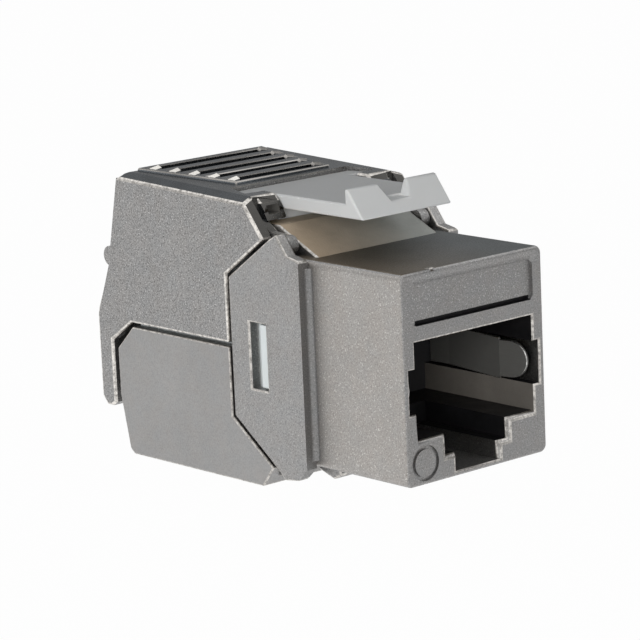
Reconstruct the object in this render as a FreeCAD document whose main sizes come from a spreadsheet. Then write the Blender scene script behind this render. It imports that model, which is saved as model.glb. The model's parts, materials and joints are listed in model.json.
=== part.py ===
"""Shielded keystone jack with two hinged wiring covers and a moulded panel latch.

Frame: +Y runs from the port face to the cable end, +Z is up and +X is to the right of
someone who stands behind the jack.  The origin is the middle of the port face's lower edge.
All lengths are in millimetres.
"""
import FreeCAD, Part
import os
import re
import Sketcher
from FreeCAD import Rotation, Vector

# name, value or formula, what it measures
SIZES = [
    ("box_width", 14.6, "front box across the panel opening"),
    ("box_height", 16.0, "front box, height in the panel opening"),
    ("box_length", 10.0, "port face to the shoulder that meets the panel"),
    ("core_end", "=box_length + 2.0", "rear end of the solid front block"),
    ("box_round", 0.6, "rounding of the front box's long edges"),
    ("face_round", 0.25, "rounding around the port face"),
    ("shoulder_round", 0.45, "hollow round where the box meets the shoulder"),
    ("plate_wall", 1.0, "thickness of the side plates"),
    ("seam_gap", 0.28, "gap between the covers and the side plates"),
    ("joint_line", 8.4, "height of the lower cover's rim"),
    ("rim_gap", 0.32, "gap between the two covers' rims"),
    ("plate_end", "=box_length + 8.2", "rear edge of the side plates"),
    ("plate_high", "=box_height - 2.05", "upper end of the side plates' rear edge"),
    ("plate_low", 3.05, "lower end of the side plates' rear edge"),
    ("tooth_far", "=box_length + 3.2", "rear corner of the upper hinge tooth"),
    ("tooth_top", "=box_height + 1.8", "top of the upper hinge tooth"),
    ("toe_far", "=box_length + 3.3", "rear corner of the lower hinge toe"),
    ("toe_low", 1.2, "depth of the lower hinge toe below the box"),
    ("port_width", 12.2, "plug opening, width"),
    ("port_floor", 3.4, "plug opening, height of its side ledges"),
    ("port_roof", 10.8, "plug opening, top edge"),
    ("pocket_width", 13.5, "across the two shield spring pockets"),
    ("pocket_low", 5.45, "shield spring pocket, lower edge"),
    ("pocket_high", 8.8, "shield spring pocket, upper edge"),
    ("step_width", 6.4, "latch notch, upper step width"),
    ("step_floor", 1.8, "latch notch, floor of the upper step"),
    ("slot_width", 4.3, "latch notch, lower slot width"),
    ("slot_floor", 0.4, "latch notch, floor of the lower slot"),
    ("notch_depth", 9.0, "latch notch, depth from the port face"),
    ("port_lead", 0.25, "chamfer that leads the plug in over the ledges and notch"),
    ("lip_wall", 1.4, "wall left above the opening at the port face"),
    ("comb_room_top", "=port_roof + 2.6", "roof of the room over the plug"),
    ("comb_room_width", 10.6, "width of the room over the plug"),
    ("panel_width", 12.5, "sunk label field, width"),
    ("panel_low", "=port_roof + 1.2", "sunk label field, lower edge"),
    ("panel_high", "=box_height - 0.9", "sunk label field, upper edge"),
    ("panel_depth", 0.25, "sunk label field, depth"),
    ("panel_round", 0.5, "sunk label field, corner radius"),
    ("panel_groove", 0.35, "sunk label field, width of the deeper groove along its foot"),
    ("panel_groove_depth", 0.6, "sunk label field, depth of that groove"),
    ("nick_side", 3.95, "gate nick in the face's upper edge, distance left of the middle"),
    ("nick_width", 0.5, "gate nick, width"),
    ("nick_depth", 0.2, "gate nick, depth"),
    ("mark_side", 5.4, "ejector mark, distance left of the middle"),
    ("mark_height", 1.65, "ejector mark, height"),
    ("mark_radius", 1.35, "ejector mark, outer radius of its ring"),
    ("mark_ring", 0.3, "ejector mark, width of its ring"),
    ("mark_depth", 0.22, "ejector mark, depth"),
    ("window_front", "=box_length + 4.1", "side window, front edge"),
    ("window_rear", "=box_length + 6.0", "side window, rear edge"),
    ("window_low", 5.5, "side window, lower edge"),
    ("window_high", 10.7, "side window, upper edge"),
    ("hook_width", 13.2, "fixed panel hook, width"),
    ("hook_front", "=box_length - 1.8", "fixed panel hook, front edge"),
    ("hook_drop", 0.85, "fixed panel hook, depth below the box"),
    ("bridge_width", 12.4, "latch bridge between the hinge arms"),
    ("bridge_top", "=box_height + 2.0", "latch bridge, top"),
    ("bridge_ramp", "=box_length + 4.4", "latch bridge, where its ramp ends"),
    ("bridge_end", "=box_length + 8.1", "latch bridge, rear end"),
    ("bridge_floor", "=box_height - 0.6", "latch bridge, underside"),
    ("deck_floor", 0.9, "deck under the insert, underside"),
    ("deck_top", 1.9, "deck under the insert, top"),
    ("deck_step", "=box_length + 5.0", "deck under the insert, rear end of its full width"),
    ("deck_end", "=box_length + 7.6", "deck under the insert, rear end"),
    ("hinge_upper_y", "=box_length + 2.75", "upper cover's hinge axis, distance back"),
    ("hinge_upper_z", "=box_height + 0.75", "upper cover's hinge axis, height"),
    ("hinge_lower_y", "=box_length + 2.85", "lower cover's hinge axis, distance back"),
    ("hinge_lower_z", -0.3, "lower cover's hinge axis, height"),
    ("pin_radius", 0.4, "hinge trunnion radius"),
    ("pin_clearance", 0.05, "radial clearance of a trunnion in its socket"),
    ("pin_reach", 0.55, "how far a trunnion stands into the side plate"),
    ("arm_radius", 0.75, "hinge arm, radius around the trunnion"),
    ("arm_wall", 0.85, "hinge arm, thickness"),
    ("arm_clearance", 0.08, "side clearance of a hinge arm"),
    ("top_rear", "=box_length + 21.3", "cover top, rear edge"),
    ("top_rear_height", "=top_front_height + 0.55", "cover top at its rear edge"),
    ("top_front", "=box_length + 6.3", "cover top, front edge of its ears"),
    ("top_front_height", "=box_height + 4.15", "cover top at its front edge"),
    ("top_wall", 1.2, "cover top, thickness"),
    ("crown_inset", 1.15, "crown bevel, width on the top"),
    ("crown_drop", 0.35, "crown bevel, height on the side"),
    ("mouth_front", "=box_length + 10.1", "cover top, front edge between the ears"),
    ("nose_y", "=box_length + 3.95", "upper cover, front end of its slanted seam"),
    ("wrap_front", "=box_length + 23.07", "rear wall of the upper cover, inner face"),
    ("wrap_rear", "=box_length + 24.8", "rear wall of the upper cover, outer face"),
    ("wrap_low", 1.5, "rear wall of the upper cover, lower end"),
    ("wrap_knee", 9.5, "height where the rear wall starts to lean"),
    ("wrap_bend", 13.9, "height of the pry rib on the rear wall"),
    ("wrap_bend_y", "=box_length + 22.75", "distance back of the pry rib"),
    ("pry_radius", 0.8, "pry rib, radius"),
    ("rim_rear", "=box_length + 20.4", "rims of the covers, rear end"),
    ("pad_front", "=box_length + 10.8", "grip pad, front edge"),
    ("pad_rear", "=box_length + 20.9", "grip pad, rear edge"),
    ("pad_front_width", 9.7, "grip pad, width at its front edge"),
    ("pad_rear_width", 13.0, "grip pad, width at its rear edge"),
    ("pad_rise", 0.22, "grip pad, height over the cover top"),
    ("groove_count", 5, "grooves in the grip pad"),
    ("groove_first", "=box_length + 11.7", "first groove, distance back"),
    ("groove_pitch", 2.0, "distance between the grooves"),
    ("groove_width", 1.1, "groove, width"),
    ("groove_depth", 0.38, "groove, depth under the pad"),
    ("groove_run", 0.5, "groove, length of its sloping ends"),
    ("groove_margin", 0.4, "pad left at each end of a groove"),
    ("ear_front", "=box_length + 5.1", "ear blocks, front face"),
    ("ear_rear", "=box_length + 7.6", "ear blocks, rear face"),
    ("ear_low", "=top_front_height - 1.8", "ear blocks, underside"),
    ("ear_inner", 4.75, "ear blocks, distance from the middle"),
    ("ear_outer", 6.7, "ear blocks, outer side at the groove"),
    ("ear_drop", 0.35, "ear blocks, height below the cover top"),
    ("ear_bevel", 0.4, "ear blocks, front bevel"),
    ("ear_slope", 0.75, "ear blocks, how far the front face leans back"),
    ("ear_wall", 0.4, "ear blocks, wall left round the hollow in the front face"),
    ("ear_recess", 0.6, "ear blocks, depth of that hollow behind the top of the face"),
    ("low_rear", "=box_length + 22.4", "lower cover, rear face"),
    ("low_rear_wall", 1.1, "lower cover, rear wall"),
    ("low_knee", 2.6, "lower cover, height where its rear leans in"),
    ("low_foot", "=box_length + 21.3", "lower cover, rear end of its floor"),
    ("low_floor", -2.1, "lower cover, underside"),
    ("low_wall", 1.0, "lower cover, floor thickness"),
    ("low_front", "=box_length + 5.2", "lower cover, front end of its underside"),
    ("low_nose_y", "=box_length + 3.9", "lower cover, front end of its slanted seam"),
    ("rim_bevel", 1.95, "bevel at the lower cover's rear corner"),
    ("cable_height", 8.0, "height of the cable's axis"),
    ("cable_radius", 3.6, "cable bore in the wire holder"),
    ("cable_gate", 4.1, "half width of the cable gate in the covers"),
    ("latch_width", 9.2, "panel latch, lever width"),
    ("latch_front", "=box_length - 3.33", "panel latch, lower front edge"),
    ("latch_under", "=box_height + 2.9", "panel latch, underside"),
    ("latch_top", "=latch_under + 1.1", "panel latch, top of the lever"),
    ("latch_rear", "=box_length + 9.85", "panel latch, rear end"),
    ("prong_top", "=latch_top + 1.1", "panel latch, top of the prongs"),
    ("prong_front", "=box_length - 1.65", "panel latch, front of the prongs' top"),
    ("prong_rear", "=box_length - 1.35", "panel latch, rear of the prongs"),
    ("notch_top", 3.0, "panel latch, width of its notch at the top"),
    ("notch_base", 1.9, "panel latch, width of its notch at the base"),
    ("wing_width", 13.1, "panel latch, width over its rear wings"),
    ("wing_front", "=box_length + 8.25", "panel latch, front of its wings"),
    ("wing_taper", 0.75, "panel latch, draw-in of each wing towards the rear"),
    ("wing_clearance", 0.2, "room beside the wings in the cover"),
    ("root_y", "=box_length + 7.0", "panel latch, root axis, distance back"),
    ("root_z", "=bridge_top - 0.75", "panel latch, root axis, height"),
    ("root_radius", 0.7, "panel latch, root bead radius"),
    ("root_width", 8.6, "panel latch, root bead length"),
    ("leg_wall", 0.9, "panel latch, leg thickness"),
    ("leg_room", 0.18, "room for the leg at each side of the mouth"),
    ("carrier_high", "=box_height - 0.9", "contact carrier, upper edge"),
    ("tongue_front", 3.7, "contact comb, front of its tongue"),
    ("tongue_low", "=port_roof + 0.6", "contact comb, underside of its tongue"),
    ("tongue_high", "=port_roof + 2.4", "contact comb, top of its tongue"),
    ("tongue_width", 10.2, "contact comb, width of its tongue"),
    ("tooth_wall", 0.3, "contact comb, tooth width"),
    ("tooth_drop", 0.45, "contact comb, tooth height"),
    ("tooth_length", 2.4, "contact comb, tooth length"),
    ("side_clearance", 0.15, "inserts to the side plates"),
    ("contact_pitch", 1.02, "port contacts, pitch"),
    ("contact_width", 0.45, "port contacts, width"),
    ("contact_wall", 0.3, "port contacts, thickness"),
    ("contact_level", "=port_roof + 0.45", "port contacts, top of the fixed leg"),
    ("contact_front", 4.3, "port contacts, front bend"),
    ("contact_turn", 9.8, "port contacts, height of the bend's lower end"),
    ("contact_tip_y", 10.9, "port contacts, free end, distance back"),
    ("contact_tip_z", 7.95, "port contacts, free end, height"),
    ("contact_play", 0.08, "clearance of a contact in the carrier"),
    ("board_front", "=core_end + 2.0", "circuit board, front face"),
    ("board_wall", 1.1, "circuit board, thickness"),
    ("board_width", 12.2, "circuit board, width"),
    ("board_high", "=box_height - 1.0", "circuit board, upper edge"),
    ("tower_rear", "=box_length + 11.3", "wiring block, rear face"),
    ("tower_high", "=box_height - 0.9", "wiring block, upper face"),
    ("tab_wall", 0.7, "wiring block, snap tab thickness"),
    ("tab_reach", 0.75, "wiring block, how far a tab stands into its window"),
    ("tab_front", "=box_length + 4.2", "wiring block, front end of the snap tabs"),
    ("tab_catch", 0.85, "wiring block, length of a tab's catch"),
    ("blade_pitch", 3.2, "wiring blades, distance side by side"),
    ("blade_upper", 11.9, "wiring blades, height of the upper row"),
    ("blade_lower", 4.7, "wiring blades, height of the lower row"),
    ("blade_height", 2.3, "wiring blades, height of a fork"),
    ("blade_wall", 0.4, "wiring blades, thickness"),
    ("blade_slot", 0.36, "wiring blades, slot for the wire"),
    ("blade_slot_depth", 3.2, "wiring blades, depth of the slot"),
    ("blade_end", "=box_length + 10.9", "wiring blades, rear end"),
    ("blade_play", 0.06, "clearance of a blade in its slot"),
    ("blade_tail", 0.8, "wiring blades, height of the tail on the board"),
    ("blade_shoulder", "=box_length + 6.4", "wiring blades, where the fork widens"),
    ("holder_rear", "=box_length + 20.8", "wire holder, rear face"),
    ("holder_shoulder", "=box_length + 16.0", "wire holder, where it starts to taper"),
    ("holder_low", 0.2, "wire holder, lower face"),
    ("holder_high", "=box_height + 0.6", "wire holder, upper face"),
    ("holder_rear_half", 5.6, "wire holder, half height of its rear face"),
    ("lane_width", 1.2, "wire holder, width of a wire lane"),
    ("lane_depth", 5.0, "wire holder, depth of a wire lane"),
    ("lane_end", "=box_length + 15.2", "wire holder, rear end of the wire lanes"),
    ("clip_clearance", 0.1, "screen clip, clearance in the cable gate"),
    ("clip_wall", 0.22, "screen clip, thickness"),
    ("clip_front", "=box_length + 22.6", "screen clip, front edge"),
    ("clip_rear", "=box_length + 24.3", "screen clip, rear edge"),
    ("clip_low", 4.4, "screen clip, lower end of its legs"),
    ("clip_flange", 1.3, "screen clip, width of the feet against the rear wall"),
    ("leaf_wall", 0.2, "shield leaf, thickness"),
    ("leaf_height", 3.2, "shield leaf, height of its base"),
    ("leaf_nose", 1.45, "shield leaf, radius of its round front end"),
    ("leaf_tip", 0.7, "shield leaf, front end"),
    ("leaf_crest", 3.2, "shield leaf, fold that stands furthest into the port"),
    ("leaf_bend", 9.6, "shield leaf, where it leaves the wall"),
    ("leaf_end", 11.8, "shield leaf, rear end"),
    ("leaf_bulge", 0.9, "shield leaf, how far it stands into the port"),
    ("contact_count", 8, "port contacts and wiring blades"),
]
NAMES = {name for name, _, _ in SIZES}

doc = FreeCAD.newDocument("keystone_jack")
sheet = doc.addObject("Spreadsheet::Sheet", "sizes")


def fill_sheet():
    """Write the driving sizes into the sheet, one row each, and give every value its alias."""
    for row, (name, size, note) in enumerate(SIZES, 1):
        sheet.set(f"A{row}", name)
        sheet.set(f"B{row}", str(size))
        sheet.set(f"C{row}", note)
        sheet.setAlias(f"B{row}", name)
    doc.recompute()


def cells(text):
    """Turn the size names in an expression into references to the sheet."""
    return re.sub(r"[A-Za-z_]\w*", lambda m: f"sizes.{m.group()}" if m.group() in NAMES else m.group(), text)


def value(text):
    """Work out an expression of size names as a number."""
    result = sheet.evalExpression(cells(text))
    return float(getattr(result, "Value", result))


def bind(item, **expressions):
    """Bind properties of an object to expressions of size names."""
    for prop, text in expressions.items():
        item.setExpression(prop, cells(text))


# ---------------------------------------------------------------- sketches and features

def new_body(name):
    """Start a sub-part as a body whose label names its file."""
    body = doc.addObject("PartDesign::Body", name)
    body.Label = name
    return body


def origin_plane(body, role):
    """One of a body's own origin planes."""
    return next(item for item in body.Origin.OriginFeatures if item.Role == role)


def new_sketch(body, name, role, offset):
    """Start a sketch on an origin plane, moved along the plane's normal by an expression."""
    sketch = body.newObject("Sketcher::SketchObject", name)
    sketch.AttachmentSupport = (origin_plane(body, role), [""])
    sketch.MapMode = "FlatFace"
    sketch.setExpression(".AttachmentOffset.Base.z", cells(offset))
    return sketch


def fix_point(sketch, edge, end, across, up):
    """Hold one point of a sketch at two expressions."""
    for kind, text in (("DistanceX", across), ("DistanceY", up)):
        index = sketch.addConstraint(Sketcher.Constraint(kind, -1, 1, edge, end, value(text)))
        sketch.setExpression(f"Constraints[{index}]", cells(text))


def polygon(body, name, role, points, offset="0"):
    """A closed outline whose corners are held by expressions."""
    sketch = new_sketch(body, name, role, offset)
    corners = [Vector(value(across), value(up), 0) for across, up in points]
    count = len(corners)
    for i in range(count):
        sketch.addGeometry(Part.LineSegment(corners[i], corners[(i + 1) % count]), False)
    for i in range(count):
        sketch.addConstraint(Sketcher.Constraint("Coincident", i, 2, (i + 1) % count, 1))
    for i, (across, up) in enumerate(points):
        fix_point(sketch, i, 1, across, up)
    return sketch


def box_points(left, low, right, high):
    """The four corners of an upright rectangle."""
    return [(left, low), (right, low), (right, high), (left, high)]


def rings(body, name, role, centre, radii, offset="0"):
    """One or more circles about a centre that is held by expressions."""
    sketch = new_sketch(body, name, role, offset)
    middle = Vector(value(centre[0]), value(centre[1]), 0)
    for i, radius in enumerate(radii):
        sketch.addGeometry(Part.Circle(middle, Vector(0, 0, 1), value(radius)), False)
        fix_point(sketch, i, 3, *centre)
        index = sketch.addConstraint(Sketcher.Constraint("Radius", i, value(radius)))
        sketch.setExpression(f"Constraints[{index}]", cells(radius))
    return sketch


def settle(body, feature):
    """Recompute and stop if the feature could not be built."""
    doc.recompute()
    if feature.Shape.isNull() or "Invalid" in feature.State or "Touched" in feature.State:
        raise RuntimeError(f"{body.Label}: {feature.Name} failed, {feature.getStatusString()}")
    return feature


def extrude(kind, body, name, sketch, length, both=False, reverse=False):
    """Pad or pocket a sketch by an expression, to one side or equally to both."""
    before = body.Shape.Volume if body.Tip else 0.0
    feature = body.newObject(f"PartDesign::{kind}", name)
    feature.Profile = sketch
    feature.SideType = "Symmetric" if both else "One side"
    feature.Reversed = reverse
    bind(feature, Length=length)
    settle(body, feature)
    change = body.Shape.Volume - before
    if (change > 0) != (kind == "Pad") or abs(change) < 1e-6:
        raise RuntimeError(f"{body.Label}: {name} changes the volume by {change:.4f}")
    return feature


def pad(body, name, sketch, length, both=False, reverse=False):
    return extrude("Pad", body, name, sketch, length, both, reverse)


def pocket(body, name, sketch, length, both=False, reverse=False):
    return extrude("Pocket", body, name, sketch, length, both, reverse)


def mirror(body, name, features):
    """Repeat features on the other side of the middle plane."""
    feature = body.newObject("PartDesign::Mirrored", name)
    feature.Originals = features
    feature.MirrorPlane = (origin_plane(body, "YZ_Plane"), [""])
    body.Tip = feature
    return settle(body, feature)


def row(body, name, feature, role, count, pitch):
    """Repeat one feature along an origin axis."""
    pattern = body.newObject("PartDesign::LinearPattern", name)
    pattern.Originals = [feature]
    axis = next(item for item in body.Origin.OriginFeatures if item.Role == role)
    pattern.Direction = (axis, [""])
    bind(pattern, Occurrences=count, Length=f"{pitch} * ({count} - 1)")
    body.Tip = pattern
    return settle(body, pattern)


def edges_where(shape, test):
    """Names of the edges whose middle and direction pass a test."""
    found = []
    for index, edge in enumerate(shape.Edges, 1):
        if edge.Length > 1e-6 and test(edge.BoundBox):
            found.append(f"Edge{index}")
    return found


def near(first, second):
    return abs(first - second) < 1e-3


def along_x(places):
    """A test for edges that run along X through any of the given (y, z) places."""
    spots = [(value(y), value(z)) for y, z in places]
    return lambda b: b.YLength < 1e-3 and b.ZLength < 1e-3 and any(
        near(b.YMin, y) and near(b.ZMin, z) for y, z in spots)


def along_y(places):
    """A test for edges that run along Y through any of the given (x, z) places."""
    spots = [(value(x), value(z)) for x, z in places]
    return lambda b: b.XLength < 1e-3 and b.ZLength < 1e-3 and any(
        near(b.XMin, x) and near(b.ZMin, z) for x, z in spots)


def along_z(places):
    """A test for edges that run along Z through any of the given (x, y) places."""
    spots = [(value(x), value(y)) for x, y in places]
    return lambda b: b.XLength < 1e-3 and b.YLength < 1e-3 and any(
        near(b.XMin, x) and near(b.YMin, y) for x, y in spots)


def dress(kind, body, name, test, prop, size):
    """Round or bevel the edges of a body's last feature that pass a test."""
    base = body.Tip
    picked = edges_where(base.Shape, test)
    if not picked:
        raise RuntimeError(f"{body.Label}: {name} finds no edge")
    feature = body.newObject(f"PartDesign::{kind}", name)
    feature.Base = (base, picked)
    bind(feature, **{prop: size})
    return settle(body, feature)


def fillet(body, name, test, radius):
    return dress("Fillet", body, name, test, "Radius", radius)


def chamfer(body, name, test, size):
    return dress("Chamfer", body, name, test, "Size", size)


# ---------------------------------------------------------------- shared expressions

HALF_BOX = "box_width / 2"
HALF_PLATES = "(box_width / 2 + plate_wall)"
SLOPE_HIGH = "((tooth_top - 0.4 - plate_high) / (plate_end - tooth_far))"
SLOPE_LOW = "((plate_low + toe_low - 0.65) / (plate_end - toe_far))"
GAP_HIGH = f"(seam_gap * sqrt(1 + {SLOPE_HIGH}^2))"
GAP_LOW = f"(seam_gap * sqrt(1 + {SLOPE_LOW}^2))"
COVER_FRONT = "(plate_end + seam_gap)"
TOP_SLOPE = "((top_rear_height - top_front_height) / (top_rear - top_front))"


def seam_high(y):
    """Height of the upper cover's slanted edge at a distance back."""
    return f"(plate_high + {SLOPE_HIGH} * (plate_end - {y}) + {GAP_HIGH})"


def seam_low(y):
    """Height of the lower cover's slanted edge at a distance back."""
    return f"(plate_low - {SLOPE_LOW} * (plate_end - {y}) - {GAP_LOW})"


def top_at(y):
    """Height of the upper cover's top at a distance back."""
    return f"(top_rear_height - {TOP_SLOPE} * (top_rear - {y}))"


def contact_x(index):
    """Distance of a port contact's middle from the jack's middle."""
    return f"(({index} - (contact_count - 1) / 2) * contact_pitch)"


def blade_x(column):
    """Distance of a wiring blade's middle from the jack's middle."""
    return f"(({column} - 1.5) * blade_pitch)"


# ---------------------------------------------------------------- metal front housing

def side_plate_outline():
    """The eight-sided plate with a hinge tooth above and a hinge toe below."""
    return [
        ("box_length", "0"),
        ("box_length", "box_height"),
        ("box_length + 0.3", "box_height + 0.1"),
        ("box_length + 1.3", "box_height + 0.3"),
        ("tooth_far - 0.75", "tooth_top"),
        ("tooth_far", "tooth_top - 0.4"),
        ("plate_end", "plate_high"),
        ("plate_end", "plate_low"),
        ("toe_far", "0.65 - toe_low"),
        ("toe_far - 0.7", "-toe_low"),
        ("box_length + 1.0", "0.2 - toe_low"),
    ]


def make_front_housing():
    body = new_body("front_housing")
    face = box_points(f"-{HALF_BOX}", "0", HALF_BOX, "box_height")
    pad(body, "block", polygon(body, "block_outline", "XZ_Plane", face), "core_end", reverse=True)
    corners = [(side, height) for side in (HALF_BOX, f"-{HALF_BOX}") for height in ("0", "box_height")]
    fillet(body, "long_edges", along_y(corners), "box_round")
    fillet(body, "face_edges", lambda b: b.YLength < 1e-3 and near(b.YMin, 0), "face_round")
    add_side_plates(body)
    add_latch_bridge(body)
    cut_port(body)
    cut_face_details(body)
    return body


def add_side_plates(body):
    """Two plates with windows and hinge sockets, a deck between them and the fixed hook."""
    outline = polygon(body, "plate_outline", "YZ_Plane", side_plate_outline(), HALF_BOX)
    plate = pad(body, "plate", outline, "plate_wall")
    mirror(body, "plates", [plate])
    inner = f"({HALF_BOX} - side_clearance)"
    for name, half, end in (("deck", HALF_BOX, "deck_step"), ("deck_tongue", inner, "deck_end")):
        deck = box_points(f"-{half}", "deck_floor", half, "deck_top")
        sketch = polygon(body, f"{name}_outline", "XZ_Plane", deck, "-core_end + 0.5")
        pad(body, name, sketch, f"{end} - core_end + 0.5", reverse=True)
    window = box_points("window_front", "window_low", "window_rear", "window_high")
    sketch = polygon(body, "window_outline", "YZ_Plane", window)
    pocket(body, "windows", sketch, f"2 * {HALF_PLATES} + 1", both=True)
    for name in ("upper", "lower"):
        centre = (f"hinge_{name}_y", f"hinge_{name}_z")
        circle = rings(body, f"{name}_socket_ring", "YZ_Plane", centre, ["pin_radius + pin_clearance"])
        depth = f"2 * ({HALF_BOX} + pin_reach + pin_clearance)"
        pocket(body, f"{name}_sockets", circle, depth, both=True)
    hook = [
        ("hook_front", "0.2"),
        ("hook_front - 0.1", "-hook_drop / 2"),
        ("hook_front + 0.7", "-hook_drop"),
        ("box_length + 0.6", "-0.3"),
        ("box_length + 0.6", "0.2"),
    ]
    pad(body, "hook", polygon(body, "hook_outline", "YZ_Plane", hook), "hook_width", both=True)
    add_shoulders(body)


def add_shoulders(body):
    """A hollow round between each box side and the shoulder: a bar less a circle."""
    low = "box_round"
    length = "box_height - 2 * box_round"
    bar = [
        (f"{HALF_BOX} - 0.2", "box_length - shoulder_round"),
        (f"{HALF_BOX} + shoulder_round", "box_length - shoulder_round"),
        (f"{HALF_BOX} + shoulder_round", "box_length + 0.2"),
        (f"{HALF_BOX} - 0.2", "box_length + 0.2"),
    ]
    stock = pad(body, "shoulder_bar", polygon(body, "shoulder_outline", "XY_Plane", bar, low), length)
    centre = (f"{HALF_BOX} + shoulder_round", "box_length - shoulder_round")
    ring = rings(body, "shoulder_ring", "XY_Plane", centre, ["shoulder_round"], low)
    hollow = pocket(body, "shoulder_hollow", ring, length, reverse=True)
    mirror(body, "shoulders", [stock, hollow])


def add_latch_bridge(body):
    """The ramp behind the box that carries the latch root in a part-round socket."""
    ramp = [
        ("box_length + 0.1", "box_height - 0.5"),
        ("box_length + 0.1", "box_height"),
        ("bridge_ramp", "bridge_top"),
        ("bridge_end", "bridge_top"),
        ("bridge_end", "bridge_floor"),
        ("core_end - 0.4", "bridge_floor"),
        ("core_end - 0.4", "box_height - 0.5"),
    ]
    pad(body, "bridge", polygon(body, "bridge_outline", "YZ_Plane", ramp), "bridge_width", both=True)
    root = ("root_y", "root_z")
    ring = rings(body, "root_ring", "YZ_Plane", root, ["root_radius + pin_clearance"])
    pocket(body, "root_socket", ring, "root_width + 2 * side_clearance", both=True)
    reach = "(leg_wall / 2 + leg_room)"
    mouth = box_points(f"root_y - {reach}", "root_z", f"root_y + {reach}", "bridge_top + 0.5")
    sketch = polygon(body, "mouth_outline", "YZ_Plane", mouth)
    pocket(body, "root_mouth", sketch, "root_width + 2 * side_clearance", both=True)


def cut_port(body):
    """The stepped plug opening, its two spring pockets and the room for the contact comb."""
    steps = [
        ("port", "port_width", "port_floor", "port_roof", "core_end + 1"),
        ("spring_pockets", "pocket_width", "pocket_low", "pocket_high", "core_end + 1"),
        ("notch_step", "step_width", "step_floor", "port_floor + 0.5", "notch_depth"),
        ("notch_slot", "slot_width", "slot_floor", "step_floor + 0.5", "notch_depth"),
    ]
    for name, width, low, high, depth in steps:
        points = box_points(f"-{width} / 2", low, f"{width} / 2", high)
        pocket(body, name, polygon(body, f"{name}_outline", "XZ_Plane", points), depth)
    room = box_points("-comb_room_width / 2", "port_roof - 0.5", "comb_room_width / 2", "comb_room_top")
    sketch = polygon(body, "comb_room_outline", "XZ_Plane", room, "-lip_wall")
    pocket(body, "comb_room", sketch, "core_end")
    level = along_x([("0", "port_floor"), ("0", "step_floor")])
    widths = ("step_width", "slot_width")
    upright = along_z([(f"{side}{width} / 2", "0") for side in ("", "-") for width in widths])
    chamfer(body, "port_lead_in", lambda box: level(box) or upright(box), "port_lead")


def cut_face_details(body):
    """The sunk label field with round corners and the ejector mark's ring."""
    field = box_points("-panel_width / 2", "panel_low", "panel_width / 2", "panel_high")
    pocket(body, "label_field", polygon(body, "label_outline", "XZ_Plane", field), "panel_depth")
    corners = [(side, height) for side in ("panel_width / 2", "-panel_width / 2")
               for height in ("panel_low", "panel_high")]
    fillet(body, "label_corners", along_y(corners), "panel_round")
    groove = box_points("-panel_width / 2 + panel_round", "panel_low", "panel_width / 2 - panel_round / 2",
                        "panel_low + panel_groove")
    sketch = polygon(body, "label_groove_outline", "XZ_Plane", groove)
    pocket(body, "label_groove", sketch, "panel_groove_depth")
    nick = box_points("-nick_side - nick_width / 2", "box_height - nick_depth",
                      "-nick_side + nick_width / 2", "box_height + 0.5")
    pocket(body, "gate_nick", polygon(body, "nick_outline", "XZ_Plane", nick), "face_round + nick_depth")
    radii = ["mark_radius", "mark_radius - mark_ring"]
    ring = rings(body, "mark_rings", "XZ_Plane", ("-mark_side", "mark_height"), radii)
    pocket(body, "ejector_mark", ring, "mark_depth")


# ---------------------------------------------------------------- wiring covers

def upper_cover_outline():
    """Side view of the upper cover with its slanted seam and the wall behind the lower cover."""
    rim = "(joint_line + rim_gap)"
    return [
        ("top_rear", "top_rear_height"),
        ("top_front", "top_front_height"),
        ("nose_y", seam_high("nose_y")),
        (COVER_FRONT, seam_high(COVER_FRONT)),
        (COVER_FRONT, rim),
        ("rim_rear + 0.1", rim),
        ("wrap_front", f"{rim} - 1.7"),
        ("wrap_front", "wrap_low + 0.35"),
        ("wrap_front + 0.5", "wrap_low"),
        ("wrap_rear - 0.6", "wrap_low"),
        ("wrap_rear", "wrap_low + 0.7"),
        ("wrap_rear", "wrap_knee - 0.6"),
        ("wrap_rear - 0.15", "wrap_knee"),
        ("wrap_bend_y + 0.25", "wrap_bend - 0.8"),
        ("wrap_bend_y - 0.1", "wrap_bend + 0.8"),
    ]


def make_upper_cover():
    body = new_body("upper_cover")
    outline = polygon(body, "outline", "YZ_Plane", upper_cover_outline())
    pad(body, "shell", outline, f"2 * {HALF_PLATES}", both=True)
    fillet(body, "top_corner", along_x([("top_rear", "top_rear_height")]), "0.5")
    hollow = [
        ("nose_y - 1", "joint_line - 8"),
        ("nose_y - 1", f"{top_at('nose_y - 1')} - top_wall"),
        ("top_rear - top_wall - 0.4", f"{top_at('top_rear - top_wall')} - top_wall"),
        ("wrap_bend_y - 1.3", "wrap_bend + 0.8"),
        ("wrap_front", "wrap_knee"),
        ("wrap_front", "joint_line - 8"),
    ]
    pocket(body, "hollow", polygon(body, "hollow_outline", "YZ_Plane", hollow), "box_width", both=True)
    bevel_crown(body)
    cut_mouth(body)
    add_ears(body)
    add_pry_rib(body)
    cut_cable_slot(body, "wrap_front - 2")
    cut_cable_round(body, "wrap_front - 2")
    add_grip_pad(body)
    return body


def bevel_crown(body):
    """A shallow bevel along both upper edges, cut as a wedge that follows the top's slope."""
    start = "(top_front - 2)"
    wedge = [
        (f"{HALF_PLATES} + 0.5", f"{top_at(start)} - crown_drop - 0.5 * crown_drop / crown_inset"),
        (f"{HALF_PLATES} - crown_inset", top_at(start)),
        (f"{HALF_PLATES} + 0.5", f"{top_at(start)} + 1"),
    ]
    sketch = polygon(body, "crown_outline", "XZ_Plane", wedge, f"-{start}")
    feature = body.newObject("PartDesign::Pocket", "crown_bevel")
    feature.Profile = sketch
    feature.UseCustomVector = True
    feature.AlongSketchNormal = False
    feature.Direction = Vector(0, 1, value(TOP_SLOPE))
    bind(feature, Length="(top_rear - top_front + 6)")
    settle(body, feature)
    mirror(body, "crown_bevels", [feature])


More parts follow.
